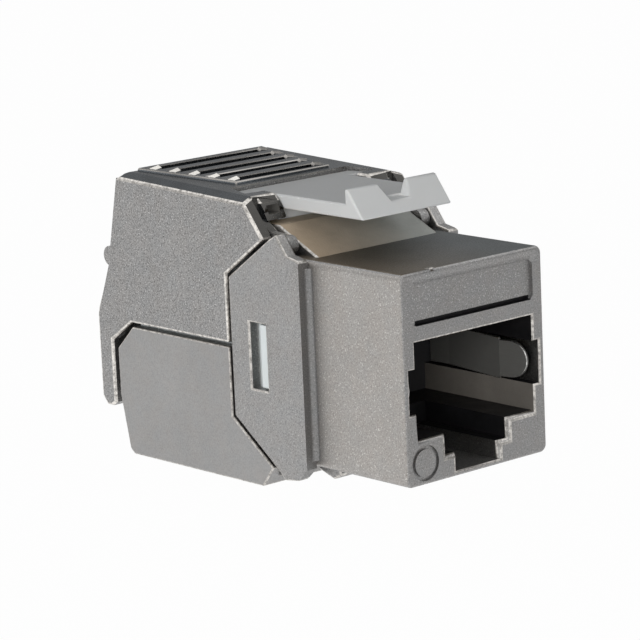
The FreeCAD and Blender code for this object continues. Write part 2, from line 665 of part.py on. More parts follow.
def wing_points(front, rear, room):
    """Corners of the latch's rear wings, whose ends draw in towards the rear, with room around."""
    def half(y):
        return f"(wing_width / 2 + {room} - wing_taper * ({y} - ear_rear) / (mouth_front - ear_rear))"
    return [(f"-{half(front)}", front), (half(front), front), (half(rear), rear), (f"-{half(rear)}", rear)]


def cut_mouth(body):
    """The opening between the ears for the latch lever and its rear wings."""
    mouth = box_points("-ear_inner", "nose_y - 2", "ear_inner", "mouth_front")
    sketch = polygon(body, "mouth_outline", "XY_Plane", mouth, "top_front_height + 2")
    pocket(body, "mouth", sketch, "5")
    sketch = polygon(body, "wing_room_outline", "XY_Plane",
                     wing_points("ear_rear", "mouth_front", "wing_clearance"), "top_front_height + 2")
    pocket(body, "wing_room", sketch, "5")


def add_ears(body):
    """The blocks beside the latch, their grooves, and the hinge arms with their trunnions."""
    ear_top = "(top_front_height - ear_drop)"
    block = [
        ("ear_front", "ear_low"),
        ("ear_rear", "ear_low"),
        ("ear_rear", ear_top),
        ("ear_front + ear_slope + ear_bevel", ear_top),
        ("ear_front + ear_slope", f"{ear_top} - ear_bevel / 2"),
    ]
    outline = polygon(body, "ear_outline", "YZ_Plane", block, "ear_inner")
    ear = pad(body, "ear", outline, f"{HALF_BOX} - ear_inner + 0.1")
    mirror(body, "ears", [ear])
    inner, outer = "(ear_inner + ear_wall)", "(ear_outer - ear_wall)"
    hollow = box_points(inner, "ear_low + ear_wall", outer, f"{ear_top} - ear_wall")
    sketch = polygon(body, "ear_hollow_outline", "XZ_Plane", hollow, "-ear_front + 0.1")
    hollow = pocket(body, "ear_hollow", sketch, "ear_slope + ear_recess + 0.1")
    mirror(body, "ear_hollows", [hollow])
    groove = [
        ("nose_y - 1", "ear_low - 0.3"),
        ("ear_front + 0.5", "ear_low - 0.3"),
        ("ear_front + 1.5", "top_front_height + 1"),
        ("nose_y - 1", "top_front_height + 1"),
    ]
    outline = polygon(body, "groove_outline", "YZ_Plane", groove, HALF_BOX)
    cut = pocket(body, "groove", outline, f"{HALF_BOX} - ear_outer")
    mirror(body, "grooves", [cut])
    add_arms(body, "hinge_upper_y", "hinge_upper_z", [
        ("hinge_upper_y", "hinge_upper_z + arm_radius * 0.95"),
        ("nose_y + 0.3", "hinge_upper_z + arm_radius + 0.15"),
        ("ear_front + 0.3", "ear_low + 0.1"),
        ("ear_rear", "ear_low + 0.1"),
        ("ear_rear", "ear_low - 0.6"),
        ("hinge_upper_y + 0.5", "hinge_upper_z - arm_radius * 0.75"),
    ])


def add_arms(body, y, z, strap):
    """A pair of hinge arms inside the side plates, each with a boss and a trunnion."""
    outer = f"({HALF_BOX} - arm_clearance)"
    inner = f"({outer} - arm_wall)"
    arm = pad(body, "arm", polygon(body, "arm_outline", "YZ_Plane", strap, inner), "arm_wall")
    boss_ring = rings(body, "arm_boss_ring", "YZ_Plane", (y, z), ["arm_radius"], inner)
    boss = pad(body, "arm_boss", boss_ring, "arm_wall")
    pin_ring = rings(body, "trunnion_ring", "YZ_Plane", (y, z), ["pin_radius"], inner)
    pin = pad(body, "trunnion", pin_ring, "arm_wall + arm_clearance + pin_reach")
    mirror(body, "arms", [arm, boss, pin])


def add_pry_rib(body):
    """The half-round rib across the rear wall where a thumb or a blade lifts the cover."""
    ring = rings(body, "pry_ring", "YZ_Plane", ("wrap_bend_y", "wrap_bend"), ["pry_radius"])
    pad(body, "pry_rib", ring, f"2 * {HALF_PLATES}", both=True)


def cut_cable_round(body, front):
    """The round of the cable gate through a rear wall."""
    circle = rings(body, "gate_ring", "XZ_Plane", ("0", "cable_height"), ["cable_gate"], f"-({front})")
    pocket(body, "gate_round", circle, "5")


def cut_cable_slot(body, front):
    """The open slot under the round, so that the cover can swing away from the cable."""
    slot = box_points("-cable_gate", "wrap_low - 1", "cable_gate", "cable_height")
    sketch = polygon(body, "gate_outline", "XZ_Plane", slot, f"-({front})")
    pocket(body, "gate", sketch, "5")


def add_grip_pad(body):
    """A raised pad that narrows to the front, with a row of cross grooves."""
    sections = []
    for name, y, width in (("front", "pad_front", "pad_front_width"), ("rear", "pad_rear", "pad_rear_width")):
        points = box_points(f"-{width} / 2", f"{top_at(y)} - 0.5", f"{width} / 2", f"{top_at(y)} + pad_rise")
        sections.append(polygon(body, f"pad_{name}", "XZ_Plane", points, f"-{y}"))
    loft = body.newObject("PartDesign::AdditiveLoft", "grip_pad")
    loft.Profile = sections[0]
    loft.Sections = sections[1:]
    loft.Ruled = True
    settle(body, loft)
    for index in range(int(value("groove_count"))):
        y = f"(groove_first + {index} * groove_pitch)"
        share = f"({y} - pad_front) / (pad_rear - pad_front)"
        width = f"(pad_front_width + (pad_rear_width - pad_front_width) * {share})"
        half = f"({width} / 2 - groove_margin)"
        floor = f"({top_at(y)} + pad_rise - groove_depth)"
        mouth = f"({floor} + 2 * groove_depth)"
        section = [(f"-{half} + groove_run", floor), (f"{half} - groove_run", floor),
                   (f"{half} + groove_run", mouth), (f"-{half} - groove_run", mouth)]
        sketch = polygon(body, f"groove_outline_{index}", "XZ_Plane", section, f"-{y}")
        pocket(body, f"grip_groove_{index}", sketch, "groove_width", both=True)


def make_lower_cover():
    body = new_body("lower_cover")
    outline = [
        (COVER_FRONT, "joint_line"),
        ("rim_rear", "joint_line"),
        ("low_rear", "joint_line - rim_bevel"),
        ("low_rear", "low_knee"),
        ("low_foot + 0.2", "low_floor + 0.4"),
        ("low_foot - 0.3", "low_floor"),
        ("low_front", "low_floor"),
        ("low_nose_y", seam_low("low_nose_y")),
        (COVER_FRONT, seam_low(COVER_FRONT)),
    ]
    sketch = polygon(body, "outline", "YZ_Plane", outline)
    pad(body, "shell", sketch, f"2 * {HALF_PLATES}", both=True)
    hollow = [
        ("low_nose_y - 1", "joint_line + 1"),
        ("low_nose_y - 1", "low_floor + low_wall"),
        ("low_foot - low_wall - 0.3", "low_floor + low_wall"),
        ("low_rear - low_rear_wall", "low_knee"),
        ("low_rear - low_rear_wall", "joint_line + 1"),
    ]
    pocket(body, "hollow", polygon(body, "hollow_outline", "YZ_Plane", hollow), "box_width", both=True)
    cut_cable_round(body, "low_rear - low_rear_wall - 1")
    add_arms(body, "hinge_lower_y", "hinge_lower_z", [
        ("hinge_lower_y - 0.3", "hinge_lower_z - arm_radius * 0.9"),
        ("hinge_lower_y + 0.3", "hinge_lower_z + arm_radius * 0.9"),
        ("low_front + 1.2", "low_floor + low_wall + 0.6"),
        ("low_front + 1.2", "low_floor + low_wall / 2"),
        ("low_front + 0.2", "low_floor + low_wall / 2"),
    ])
    return body


# ---------------------------------------------------------------- moulded panel latch

def make_keystone_latch():
    body = new_body("keystone_latch")
    lever = [
        ("latch_front", "latch_under"),
        ("prong_front", "prong_top"),
        ("prong_rear", "prong_top"),
        ("prong_rear", "latch_top"),
        ("latch_rear", "latch_top"),
        ("latch_rear", "latch_under"),
    ]
    pad(body, "lever", polygon(body, "lever_outline", "YZ_Plane", lever), "latch_width", both=True)
    notch = [
        ("-notch_base / 2", "latch_top - 0.15"),
        ("notch_base / 2", "latch_top - 0.15"),
        ("notch_top / 2", "prong_top + 0.1"),
        ("-notch_top / 2", "prong_top + 0.1"),
    ]
    sketch = polygon(body, "notch_outline", "XZ_Plane", notch, "-latch_front + 1")
    pocket(body, "notch", sketch, "prong_rear - latch_front + 1")
    wings = wing_points("wing_front", "latch_rear", "0")
    sketch = polygon(body, "wing_outline", "XY_Plane", wings, "latch_under")
    pad(body, "wings", sketch, "latch_top - latch_under")
    leg = box_points("root_y - leg_wall / 2", "root_z", "root_y + leg_wall / 2", "latch_under + 0.3")
    pad(body, "leg", polygon(body, "leg_outline", "YZ_Plane", leg), "root_width", both=True)
    ring = rings(body, "root_ring", "YZ_Plane", ("root_y", "root_z"), ["root_radius"])
    pad(body, "root_bead", ring, "root_width", both=True)
    return body


# ---------------------------------------------------------------- port insert

def make_contact_carrier():
    body = new_body("contact_carrier")
    side = f"({HALF_BOX} - side_clearance)"
    wall = box_points(f"-{side}", "deck_top", side, "carrier_high")
    sketch = polygon(body, "wall_outline", "XZ_Plane", wall, "-core_end")
    pad(body, "wall", sketch, "board_front - core_end", reverse=True)
    half = "(contact_width / 2 + contact_play)"
    hole = box_points(f"{contact_x(0)} - {half}", "contact_level - contact_wall - contact_play",
                      f"{contact_x(0)} + {half}", "contact_level + contact_play")
    sketch = polygon(body, "hole_outline", "XZ_Plane", hole, "-core_end + 0.5")
    feature = pocket(body, "contact_hole", sketch, "board_front - core_end + 1")
    row(body, "contact_holes", feature, "X_Axis", "contact_count", "contact_pitch")
    return body


def make_contact_comb():
    """The tongue over the plug, whose teeth keep the contacts apart at their front bends."""
    body = new_body("contact_comb")
    tongue = box_points("-tongue_width / 2", "tongue_low", "tongue_width / 2", "tongue_high")
    sketch = polygon(body, "tongue_outline", "XZ_Plane", tongue, "-tongue_front")
    pad(body, "tongue", sketch, "core_end - tongue_front", reverse=True)
    first = f"({contact_x(0)} - contact_pitch / 2)"
    tooth = box_points(f"{first} - tooth_wall / 2", "tongue_low - tooth_drop",
                       f"{first} + tooth_wall / 2", "tongue_low + 0.2")
    sketch = polygon(body, "tooth_outline", "XZ_Plane", tooth, "-tongue_front")
    feature = pad(body, "tooth", sketch, "tooth_length", reverse=True)
    row(body, "teeth", feature, "X_Axis", "contact_count + 1", "contact_pitch")
    return body


def make_port_contact(index):
    """One flat spring: a fixed leg under the tongue, a front bend and a sloping free leg."""
    body = new_body(f"port_contact_{index + 1}")
    turn = "(contact_turn - contact_wall)"
    outline = [
        ("board_front", "contact_level"),
        ("contact_front", "contact_level"),
        ("contact_front", turn),
        ("contact_tip_y", "contact_tip_z - contact_wall"),
        ("contact_tip_y + 0.1", "contact_tip_z"),
        ("contact_front + contact_wall", "contact_turn"),
        ("contact_front + contact_wall", "contact_level - contact_wall"),
        ("board_front", "contact_level - contact_wall"),
    ]
    offset = f"{contact_x(index)} - contact_width / 2"
    pad(body, "spring", polygon(body, "outline", "YZ_Plane", outline, offset), "contact_width")
    outer = [("contact_front", "contact_level"), ("contact_front", turn)]
    inner = [("contact_front + contact_wall", "contact_turn"),
             ("contact_front + contact_wall", "contact_level - contact_wall")]
    fillet(body, "outer_bends", along_x(outer), "0.55")
    fillet(body, "inner_bends", along_x(inner), "0.25")
    return body


def make_circuit_board():
    body = new_body("circuit_board")
    board = box_points("-board_width / 2", "deck_top", "board_width / 2", "board_high")
    sketch = polygon(body, "outline", "XZ_Plane", board, "-board_front")
    pad(body, "board", sketch, "board_wall", reverse=True)
    corners = [(side, height) for side in ("board_width / 2", "-board_width / 2")
               for height in ("deck_top", "board_high")]
    fillet(body, "corners", along_y(corners), "0.6")
    return body


def make_wiring_block():
    body = new_body("wiring_block")
    side = f"({HALF_BOX} - side_clearance)"
    front = "(board_front + board_wall)"
    block = box_points(f"-{side}", "deck_top", side, "tower_high")
    sketch = polygon(body, "block_outline", "XZ_Plane", block, f"-{front}")
    pad(body, "block", sketch, f"tower_rear - {front}", reverse=True)
    half = "(blade_wall / 2 + blade_play)"
    height = "(blade_height / 2 + blade_play)"
    for name, level in (("upper", "blade_upper"), ("lower", "blade_lower")):
        slot = box_points(f"{blade_x(0)} - {half}", f"{level} - {height}",
                          f"{blade_x(0)} + {half}", f"{level} + {height}")
        sketch = polygon(body, f"{name}_slot_outline", "XZ_Plane", slot, f"-{front} + 0.5")
        feature = pocket(body, f"{name}_slot", sketch, f"tower_rear - {front} + 1")
        row(body, f"{name}_slots", feature, "X_Axis", "contact_count / 2", "blade_pitch")
        wire = box_points(f"{blade_x(0)} - lane_width / 2", f"{level} - {height} - 0.3",
                          f"{blade_x(0)} + lane_width / 2", f"{level} + {height} + 0.3")
        sketch = polygon(body, f"{name}_wire_outline", "XZ_Plane", wire, "-tower_rear + blade_slot_depth")
        feature = pocket(body, f"{name}_wire_room", sketch, "blade_slot_depth + 1")
        row(body, f"{name}_wire_rooms", feature, "X_Axis", "contact_count / 2", "blade_pitch")
    add_snap_tabs(body, front)
    return body


def add_snap_tabs(body, front):
    """The tabs that pass the board's sides and catch in the side windows."""
    outer = f"({HALF_BOX} - side_clearance)"
    low = "(window_low + side_clearance)"
    high = "(window_high - side_clearance)"
    stem = box_points("tab_front", low, f"{front} + 0.5", high)
    sketch = polygon(body, "tab_outline", "YZ_Plane", stem, f"{outer} - tab_wall")
    tab = pad(body, "tab", sketch, "tab_wall")
    catch = box_points("tab_front", low, "tab_front + tab_catch", high)
    sketch = polygon(body, "catch_outline", "YZ_Plane", catch, f"{outer} - tab_wall / 2")
    hook = pad(body, "catch", sketch, "tab_wall / 2 + side_clearance + tab_reach")
    mirror(body, "tabs", [tab, hook])


def make_wiring_blade(index):
    """One forked blade with a tail on the board and a slot that bites a wire."""
    body = new_body(f"wiring_blade_{index + 1}")
    level = "blade_lower" if index % 2 else "blade_upper"
    half = "blade_height / 2"
    slot = "blade_slot / 2"
    outline = [
        ("board_front + board_wall", f"{level} - blade_tail / 2"),
        ("blade_shoulder", f"{level} - blade_tail / 2"),
        ("blade_shoulder", f"{level} - {half}"),
        ("blade_end - 0.4", f"{level} - {half}"),
        ("blade_end", f"{level} - {half} + 0.45"),
        ("blade_end - 0.5", f"{level} - {slot}"),
        ("blade_end - blade_slot_depth", f"{level} - {slot}"),
        ("blade_end - blade_slot_depth", f"{level} + {slot}"),
        ("blade_end - 0.5", f"{level} + {slot}"),
        ("blade_end", f"{level} + {half} - 0.45"),
        ("blade_end - 0.4", f"{level} + {half}"),
        ("blade_shoulder", f"{level} + {half}"),
        ("blade_shoulder", f"{level} + blade_tail / 2"),
        ("board_front + board_wall", f"{level} + blade_tail / 2"),
    ]
    offset = f"{blade_x(index // 2)} - blade_wall / 2"
    pad(body, "blade", polygon(body, "outline", "YZ_Plane", outline, offset), "blade_wall")
    return body


def make_wire_holder():
    """The tapered cap that leads the cable in and spreads its wires over the blades."""
    body = new_body("wire_holder")
    outline = [
        ("tower_rear", "holder_low"),
        ("holder_shoulder", "holder_low"),
        ("holder_rear", "cable_height - holder_rear_half"),
        ("holder_rear", "cable_height + holder_rear_half"),
        ("holder_shoulder", "holder_high"),
        ("tower_rear", "holder_high"),
    ]
    side = f"({HALF_BOX} - side_clearance)"
    sketch = polygon(body, "outline", "YZ_Plane", outline)
    pad(body, "cap", sketch, f"2 * {side}", both=True)
    bore = rings(body, "bore_ring", "XZ_Plane", ("0", "cable_height"), ["cable_radius"], "-tower_rear + 1")
    pocket(body, "cable_bore", bore, "holder_rear - tower_rear + 2")
    for name, low, high in (("upper", "holder_high - lane_depth", "holder_high + 1"),
                            ("lower", "holder_low - 1", "holder_low + lane_depth")):
        lane = box_points(f"{blade_x(0)} - lane_width / 2", low, f"{blade_x(0)} + lane_width / 2", high)
        sketch = polygon(body, f"{name}_lane_outline", "XZ_Plane", lane, "-tower_rear + 1")
        feature = pocket(body, f"{name}_lane", sketch, "lane_end - tower_rear + 1")
        row(body, f"{name}_lanes", feature, "X_Axis", "contact_count / 2", "blade_pitch")
    return body


def make_screen_clip():
    """A sprung arch in the cable gate, with two feet against the upper cover's rear wall."""
    body = new_body("screen_clip")
    outer = "(cable_gate - clip_clearance)"
    inner = f"({outer} - clip_wall)"
    length = "clip_rear - clip_front"
    ring = rings(body, "arch_ring", "XZ_Plane", ("0", "cable_height"), [outer, inner], "-clip_front")
    pad(body, "arch", ring, length, reverse=True)
    lower = box_points(f"-{outer} - 1", f"cable_height - {outer} - 1", f"{outer} + 1", "cable_height")
    sketch = polygon(body, "open_outline", "XZ_Plane", lower, "-clip_front + 0.5")
    pocket(body, "open_side", sketch, f"{length} + 1")
    leg = box_points(inner, "clip_low", outer, "cable_height")
    sketch = polygon(body, "leg_outline", "XZ_Plane", leg, "-clip_front")
    side = pad(body, "leg", sketch, length, reverse=True)
    foot = box_points(inner, "clip_low", f"{outer} + clip_flange", "cable_height - 0.3")
    sketch = polygon(body, "foot_outline", "XZ_Plane", foot, "-wrap_front + clip_wall")
    flange = pad(body, "foot", sketch, "clip_wall", reverse=True)
    mirror(body, "sides", [side, flange])
    return body


def make_shield_leaf(name, side):
    """A bent leaf along one wall of the port, with a round front end that touches the plug."""
    outer = f"(pocket_width / 2) * {side}"
    inner = f"(pocket_width / 2 - leaf_wall) * {side}"
    crest = f"(pocket_width / 2 - leaf_bulge) * {side}"
    crest_in = f"(pocket_width / 2 - leaf_bulge - leaf_wall) * {side}"
    tip = f"(pocket_width / 2 - leaf_bulge / 2) * {side}"
    tip_in = f"(pocket_width / 2 - leaf_bulge / 2 - leaf_wall) * {side}"
    points = [
        (outer, "leaf_end"),
        (outer, "leaf_bend"),
        (crest, "leaf_crest"),
        (tip, "leaf_tip"),
        (tip_in, "leaf_tip"),
        (crest_in, "leaf_crest"),
        (inner, "leaf_bend"),
        (inner, "leaf_end"),
    ]
    middle = "((pocket_low + pocket_high) / 2)"
    body = new_body(name)
    sketch = polygon(body, "strip_outline", "XY_Plane", points, f"{middle} - leaf_height / 2")
    pad(body, "strip", sketch, "leaf_height")
    for end, sign in (("upper", "1"), ("lower", "-1")):
        rim = f"({middle} + {sign} * (leaf_height / 2 + 0.2))"
        edge = f"({middle} + {sign} * leaf_nose)"
        corner = [("leaf_tip - 0.5", rim), ("leaf_crest", rim), ("leaf_crest", edge)]
        for angle in range(90, -1, -15):
            corner.append((f"leaf_tip + leaf_nose * (1 - cos({angle}))",
                           f"{middle} + {sign} * leaf_nose * sin({angle})"))
        corner.append(("leaf_tip - 0.5", middle))
        sketch = polygon(body, f"{end}_corner", "YZ_Plane", corner)
        pocket(body, f"{end}_trim", sketch, "box_width", both=True)
    return body


# ---------------------------------------------------------------- build, check and write

def make_all():
    bodies = [make_front_housing(), make_upper_cover(), make_lower_cover(), make_keystone_latch()]
    bodies.append(make_contact_carrier())
    bodies.append(make_contact_comb())
    bodies.extend(make_port_contact(index) for index in range(int(value("contact_count"))))
    bodies.append(make_circuit_board())
    bodies.append(make_wiring_block())
    bodies.extend(make_wiring_blade(index) for index in range(int(value("contact_count"))))
    bodies.append(make_wire_holder())
    bodies.append(make_screen_clip())
    bodies.append(make_shield_leaf("shield_leaf_right", "1"))
    bodies.append(make_shield_leaf("shield_leaf_left", "-1"))
    return bodies


def check(bodies):
    """Stop if any object failed, or if a sub-part is empty, invalid or in several pieces."""
    doc.recompute()
    for item in doc.Objects:
        if "Invalid" in item.State or "Error" in item.State:
            raise RuntimeError(f"{item.Label} failed: {item.State}")
    for body in bodies:
        shape = body.Shape
        if shape.isNull() or not shape.isValid() or len(shape.Solids) != 1:
            raise RuntimeError(f"{body.Label}: {len(shape.Solids)} solids, valid {shape.isValid()}")


def write(bodies):
    """Write each sub-part to its own file and print its size."""
    os.makedirs("parts", exist_ok=True)
    for body in bodies:
        body.Shape.exportStep(f"parts/{body.Label}.step")
        box = body.Shape.BoundBox
        size = f"{box.XLength:.2f} x {box.YLength:.2f} x {box.ZLength:.2f}"
        print(f"{body.Label}: {body.Shape.Volume:.2f} mm3, {size}")


fill_sheet()
PARTS = make_all()
check(PARTS)
write(PARTS)
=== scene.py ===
"""Shielded keystone jack: finishes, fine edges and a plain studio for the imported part."""

import json
import math

import bmesh
import bpy
from mathutils import Matrix, Vector


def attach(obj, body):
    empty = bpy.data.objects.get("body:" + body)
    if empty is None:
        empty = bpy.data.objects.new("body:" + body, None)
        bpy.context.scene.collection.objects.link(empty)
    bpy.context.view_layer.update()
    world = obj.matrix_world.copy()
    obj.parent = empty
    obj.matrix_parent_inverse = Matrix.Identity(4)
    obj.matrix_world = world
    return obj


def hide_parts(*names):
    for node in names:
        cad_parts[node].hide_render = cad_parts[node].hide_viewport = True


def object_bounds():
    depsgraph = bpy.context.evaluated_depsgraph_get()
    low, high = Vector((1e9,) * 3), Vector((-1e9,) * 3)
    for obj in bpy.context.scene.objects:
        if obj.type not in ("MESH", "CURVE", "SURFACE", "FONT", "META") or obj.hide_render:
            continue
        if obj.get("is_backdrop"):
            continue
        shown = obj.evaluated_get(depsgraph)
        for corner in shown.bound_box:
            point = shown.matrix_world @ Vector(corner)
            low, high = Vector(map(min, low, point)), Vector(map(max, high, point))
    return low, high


bl_info = {
    "name": "Keystone Jack",
    "version": (1, 0, 0),
    "blender": (4, 5, 0),
    "location": "View3D > Sidebar > Keystone Jack",
    "description": "Dresses a packed keystone jack in metal and plastic, and sets up its studio",
    "category": "Object",
}

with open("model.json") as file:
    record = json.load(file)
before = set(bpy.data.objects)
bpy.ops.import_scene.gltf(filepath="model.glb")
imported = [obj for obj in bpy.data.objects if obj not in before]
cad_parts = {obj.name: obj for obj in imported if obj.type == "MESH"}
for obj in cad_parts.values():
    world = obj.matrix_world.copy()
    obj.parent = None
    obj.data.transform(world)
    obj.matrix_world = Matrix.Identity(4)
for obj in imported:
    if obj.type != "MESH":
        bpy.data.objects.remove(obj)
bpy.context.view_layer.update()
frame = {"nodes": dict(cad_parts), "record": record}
NODES = frame["nodes"]
BODIES = frame["record"]["behaviour"]["bodies"]
MM = 0.001

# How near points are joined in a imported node, and how flat faces have to meet to become one.
JOIN_DISTANCE = 0.002 * MM
JOIN_TURN = math.radians(1.0)

# The turns between two faces that end smooth shading: at a corner, which is also what gets a
# rounding where it looks outwards, and beside a broad face.
CORNER_TURN = math.radians(28.0)
FOLD_TURN = math.radians(2.0)

# Faces broader than the first are flat, and narrower than the second are part of a rounding.
# Between the two, a face is curved where it turns from its neighbour by an angle, in degrees,
# that lies between this pair.
FLAT_BREADTH = 1.2 * MM
ROUND_BREADTH = 0.4 * MM
FACET_TURN = (2.0, 20.0)

# The areas in square millimetres of the broader and the narrower face at a fold.
BROAD_AREA = 1.5
SLIVER_AREA = 0.02

# The room that a rounding needs, as shares of its width: along its edge, and over the faces
# beside it. An edge that meets it blocks it by ending between two distances to its side, unless
# it runs straight on from it.
ROOM_ALONG = 1.2
ROOM_BESIDE = 1.3
ROOM_BLOCKED = (0.35, 1.2)
STRAIGHT_ON = -0.9

# The share of the rounding's width on the grip pad's fine edges.
PAD_LINE_SHARE = 0.5

# How far a face looks along an axis, from 0 for side-on to 1 for square-on.
SQUARE_ON = 0.9
STEEP = 0.7
SLOPING = 0.5
LEANING = 0.35
END_LEANING = 0.3


def below(limit):
    """Any place short of a limit."""
    return -math.inf, limit


def beyond(limit):
    """Any place past a limit."""
    return limit, math.inf


# Zones of the jack in millimetres: to either side of its middle, back from the port face, and up.
ZONES = {
    "front_face": {"back": below(1.0), "up": below(16.5)},
    "label_field": {"side": below(6.9), "back": below(0.9), "up": (12.3, 15.6)},
    "label_foot": {"side": below(6.6), "back": beyond(0.27), "up": (11.9, 12.5)},
    "ejector_mark": {"side": (4.0, 7.2), "back": below(0.6), "up": below(3.3)},
    "port": {"side": below(6.6), "back": beyond(0.35), "up": (1.2, 13.4)},
    "port_depth": {"side": below(6.6), "back": beyond(0.6), "up": (1.2, 13.4)},
    "port_wall": {"side": (5.0, 6.6), "back": beyond(0.35), "up": (3.2, 6.2)},
    "box_top": {"side": below(7.3), "back": below(10.2), "up": beyond(15.6)},
    "box_side": {"side": beyond(7.1), "back": below(10.4)},
    "shoulder": {"side": beyond(6.9), "back": (8.8, 10.9), "up": below(15.9)},
    "ramp": {"side": below(7.3), "back": beyond(9.9), "up": beyond(15.8)},
    "cover_top": {"back": beyond(14.0), "up": beyond(17.2)},
    "cover_mouth": {"side": below(6.9), "back": below(18.0)},
    "grip_pad": {"side": below(6.9), "back": below(31.1), "up": beyond(20.2)},
    "pad_lines": {"side": below(6.8), "back": beyond(18.5), "up": beyond(17.2)},
    "grooves": {"back": (21.0, 30.6), "up": beyond(19.6)},
    "groove_ends": {"back": beyond(19.0), "up": beyond(17.2)},
    "ears": {"side": beyond(4.4), "back": below(19.0), "up": beyond(17.6)},
    "ear_hollow": {"side": (5.1, 6.35), "back": (15.7, 16.7), "up": (18.4, 19.8)},
}

# The grip pad's sides in millimetres: half its width at its front, and how fast that grows.
PAD_FRONT = 20.8
PAD_HALF_WIDTH = 4.6
PAD_FLARE = 0.163

# The run-outs at the ends of the grip pad's grooves. An end's face has an area in square mm.
END_AREA = (0.2, 3.0)
RUN_OUT_SIZE = (0.9 * MM, 0.42 * MM, 0.30 * MM)
RUN_OUT_SHIFT = 0.3 * MM
RUN_OUT_SINK = 0.10 * MM
RUN_OUT_ROUND = 0.03 * MM
RUN_OUT_LEAN = math.radians(10.0)
RUN_OUT_TURN = math.radians(26.0)

# The studio. Each flag has a place from the middle of the jack, a width, a height and a grey.
WHITE = (1.0, 1.0, 1.0, 1.0)
SKY = (0.95, 0.97, 1.0, 1.0)
FLOOR_REACH = 3.0
FLOOR_GREY = (0.86, 0.86, 0.86, 1.0)
FLOOR_WHITE_SHARE = 0.98
LAMP_PLACE = Vector((-0.31, -0.25, 0.07))
LAMP_WIDTH = 0.22
FLAGS = {
    "flag_back": (Vector((0.36, 0.37, 0.24)), 0.62, 0.60, 0.33),
    "flag_right": (Vector((0.40, -0.36, 0.02)), 0.46, 0.40, 0.22),
    "flag_left": (Vector((-0.42, 0.30, 0.30)), 0.50, 0.30, 0.45),
    "flag_front": (Vector((-0.40, -0.42, 0.16)), 0.30, 0.50, 0.30),
}
CAMERA_PLACE = Vector((-0.1619, -0.16725, 0.06141))
CAMERA_AZIMUTH = math.radians(41.27)
CAMERA_DIP = math.radians(12.0)
CAMERA_ROLL = math.radians(-2.53)
SENSOR_WIDTH = 36.0
NEAREST, FURTHEST = 0.005, 20.0


# ---------------------------------------------------------------- properties

class ShellSettings(bpy.types.PropertyGroup):
    """Die-cast metal of the housing and its covers."""
    metal: bpy.props.FloatVectorProperty(
        name="Metal", description="Colour of the satin plated casting",
        subtype="COLOR", size=3, min=0.0, max=1.0, default=(0.375, 0.37, 0.365))
    # Painted reflection: the polished cover top is a dark grey for the dark that it mirrors, beside
    # the flags; the grooves and the ear hollows take shares of it.
    polished: bpy.props.FloatVectorProperty(
        name="Polished top", description="Colour of the polished cover top",
        subtype="COLOR", size=3, min=0.0, max=1.0, default=(0.152, 0.165, 0.178))
    # Painted reflection: the box top is darker than the cast metal, for the dark that it mirrors.
    box_top: bpy.props.FloatVectorProperty(
        name="Box top", description="Colour of the tarnished top of the front box",
        subtype="COLOR", size=3, min=0.0, max=1.0, default=(0.19, 0.185, 0.175))
    # Painted light: the ramp's pale tan stands in for the light that it mirrors under the latch;
    # the port walls take a darker share of it.
    ramp_painted_light: bpy.props.FloatVectorProperty(
        name="Ramp", description="Colour of the ramp under the latch",
        subtype="COLOR", size=3, min=0.0, max=1.0, default=(0.52, 0.475, 0.41))
    # Painted shade: the inside of the port and the groove at the label's foot are near black.
    bore_painted_shade: bpy.props.FloatVectorProperty(
        name="Port bore", description="Colour of the unplated inside of the port",
        subtype="COLOR", size=3, min=0.0, max=1.0, default=(0.016, 0.0155, 0.017))
    # Wear and painted highlight: the rounded edges are pale for rubbed metal and for the highlights
    # they catch.
    edge: bpy.props.FloatVectorProperty(
        name="Burnished edge", description="Colour of the rubbed edges",
        subtype="COLOR", size=3, min=0.0, max=1.0, default=(0.74, 0.71, 0.67))
    roughness: bpy.props.FloatProperty(
        name="Roughness", description="Roughness of the cast faces",
        subtype="FACTOR", min=0.0, max=1.0, default=0.46)
    edge_round: bpy.props.FloatProperty(
        name="Edge round", description="Width of the worn rounding on cast edges",
        subtype="DISTANCE", unit="LENGTH", min=0.0, max=0.0006, default=0.0002, precision=6)


class PlasticSettings(bpy.types.PropertyGroup):
    """Moulded plastic of the latch and the inserts."""
    latch: bpy.props.FloatVectorProperty(
        name="Latch", description="Colour of the latch moulding",
        subtype="COLOR", size=3, min=0.0, max=1.0, default=(0.635, 0.64, 0.632))
    insert: bpy.props.FloatVectorProperty(
        name="Inserts", description="Colour of the inner mouldings",
        subtype="COLOR", size=3, min=0.0, max=1.0, default=(0.74, 0.78, 0.78))
    dark: bpy.props.FloatVectorProperty(
        name="Contact mouldings", description="Colour of the mouldings that hold the contacts",
        subtype="COLOR", size=3, min=0.0, max=1.0, default=(0.03, 0.03, 0.032))
    edge_round: bpy.props.FloatProperty(
        name="Edge round", description="Width of the rounding on moulded edges",
        subtype="DISTANCE", unit="LENGTH", min=0.0, max=0.0006, default=0.00016, precision=6)


class ContactSettings(bpy.types.PropertyGroup):
    """Contacts, blades, springs and the board."""
    gold: bpy.props.FloatVectorProperty(
        name="Gold", description="Colour of the plated port contacts",
        subtype="COLOR", size=3, min=0.0, max=1.0, default=(0.80, 0.58, 0.24))
    tin: bpy.props.FloatVectorProperty(
        name="Tin", description="Colour of the tinned blades and the springs' rubbed edges",
        subtype="COLOR", size=3, min=0.0, max=1.0, default=(0.60, 0.60, 0.58))
    spring: bpy.props.FloatVectorProperty(
        name="Spring", description="Colour of the shield leaves and the screen clip",
        subtype="COLOR", size=3, min=0.0, max=1.0, default=(0.13, 0.128, 0.12))
    edge_round: bpy.props.FloatProperty(
        name="Edge round", description="Width of the rounding on pressed edges",
        subtype="DISTANCE", unit="LENGTH", min=0.0, max=0.0002, default=0.00005, precision=6)
    laminate: bpy.props.FloatVectorProperty(
        name="Laminate", description="Colour of the circuit board",
        subtype="COLOR", size=3, min=0.0, max=1.0, default=(0.02, 0.12, 0.05))


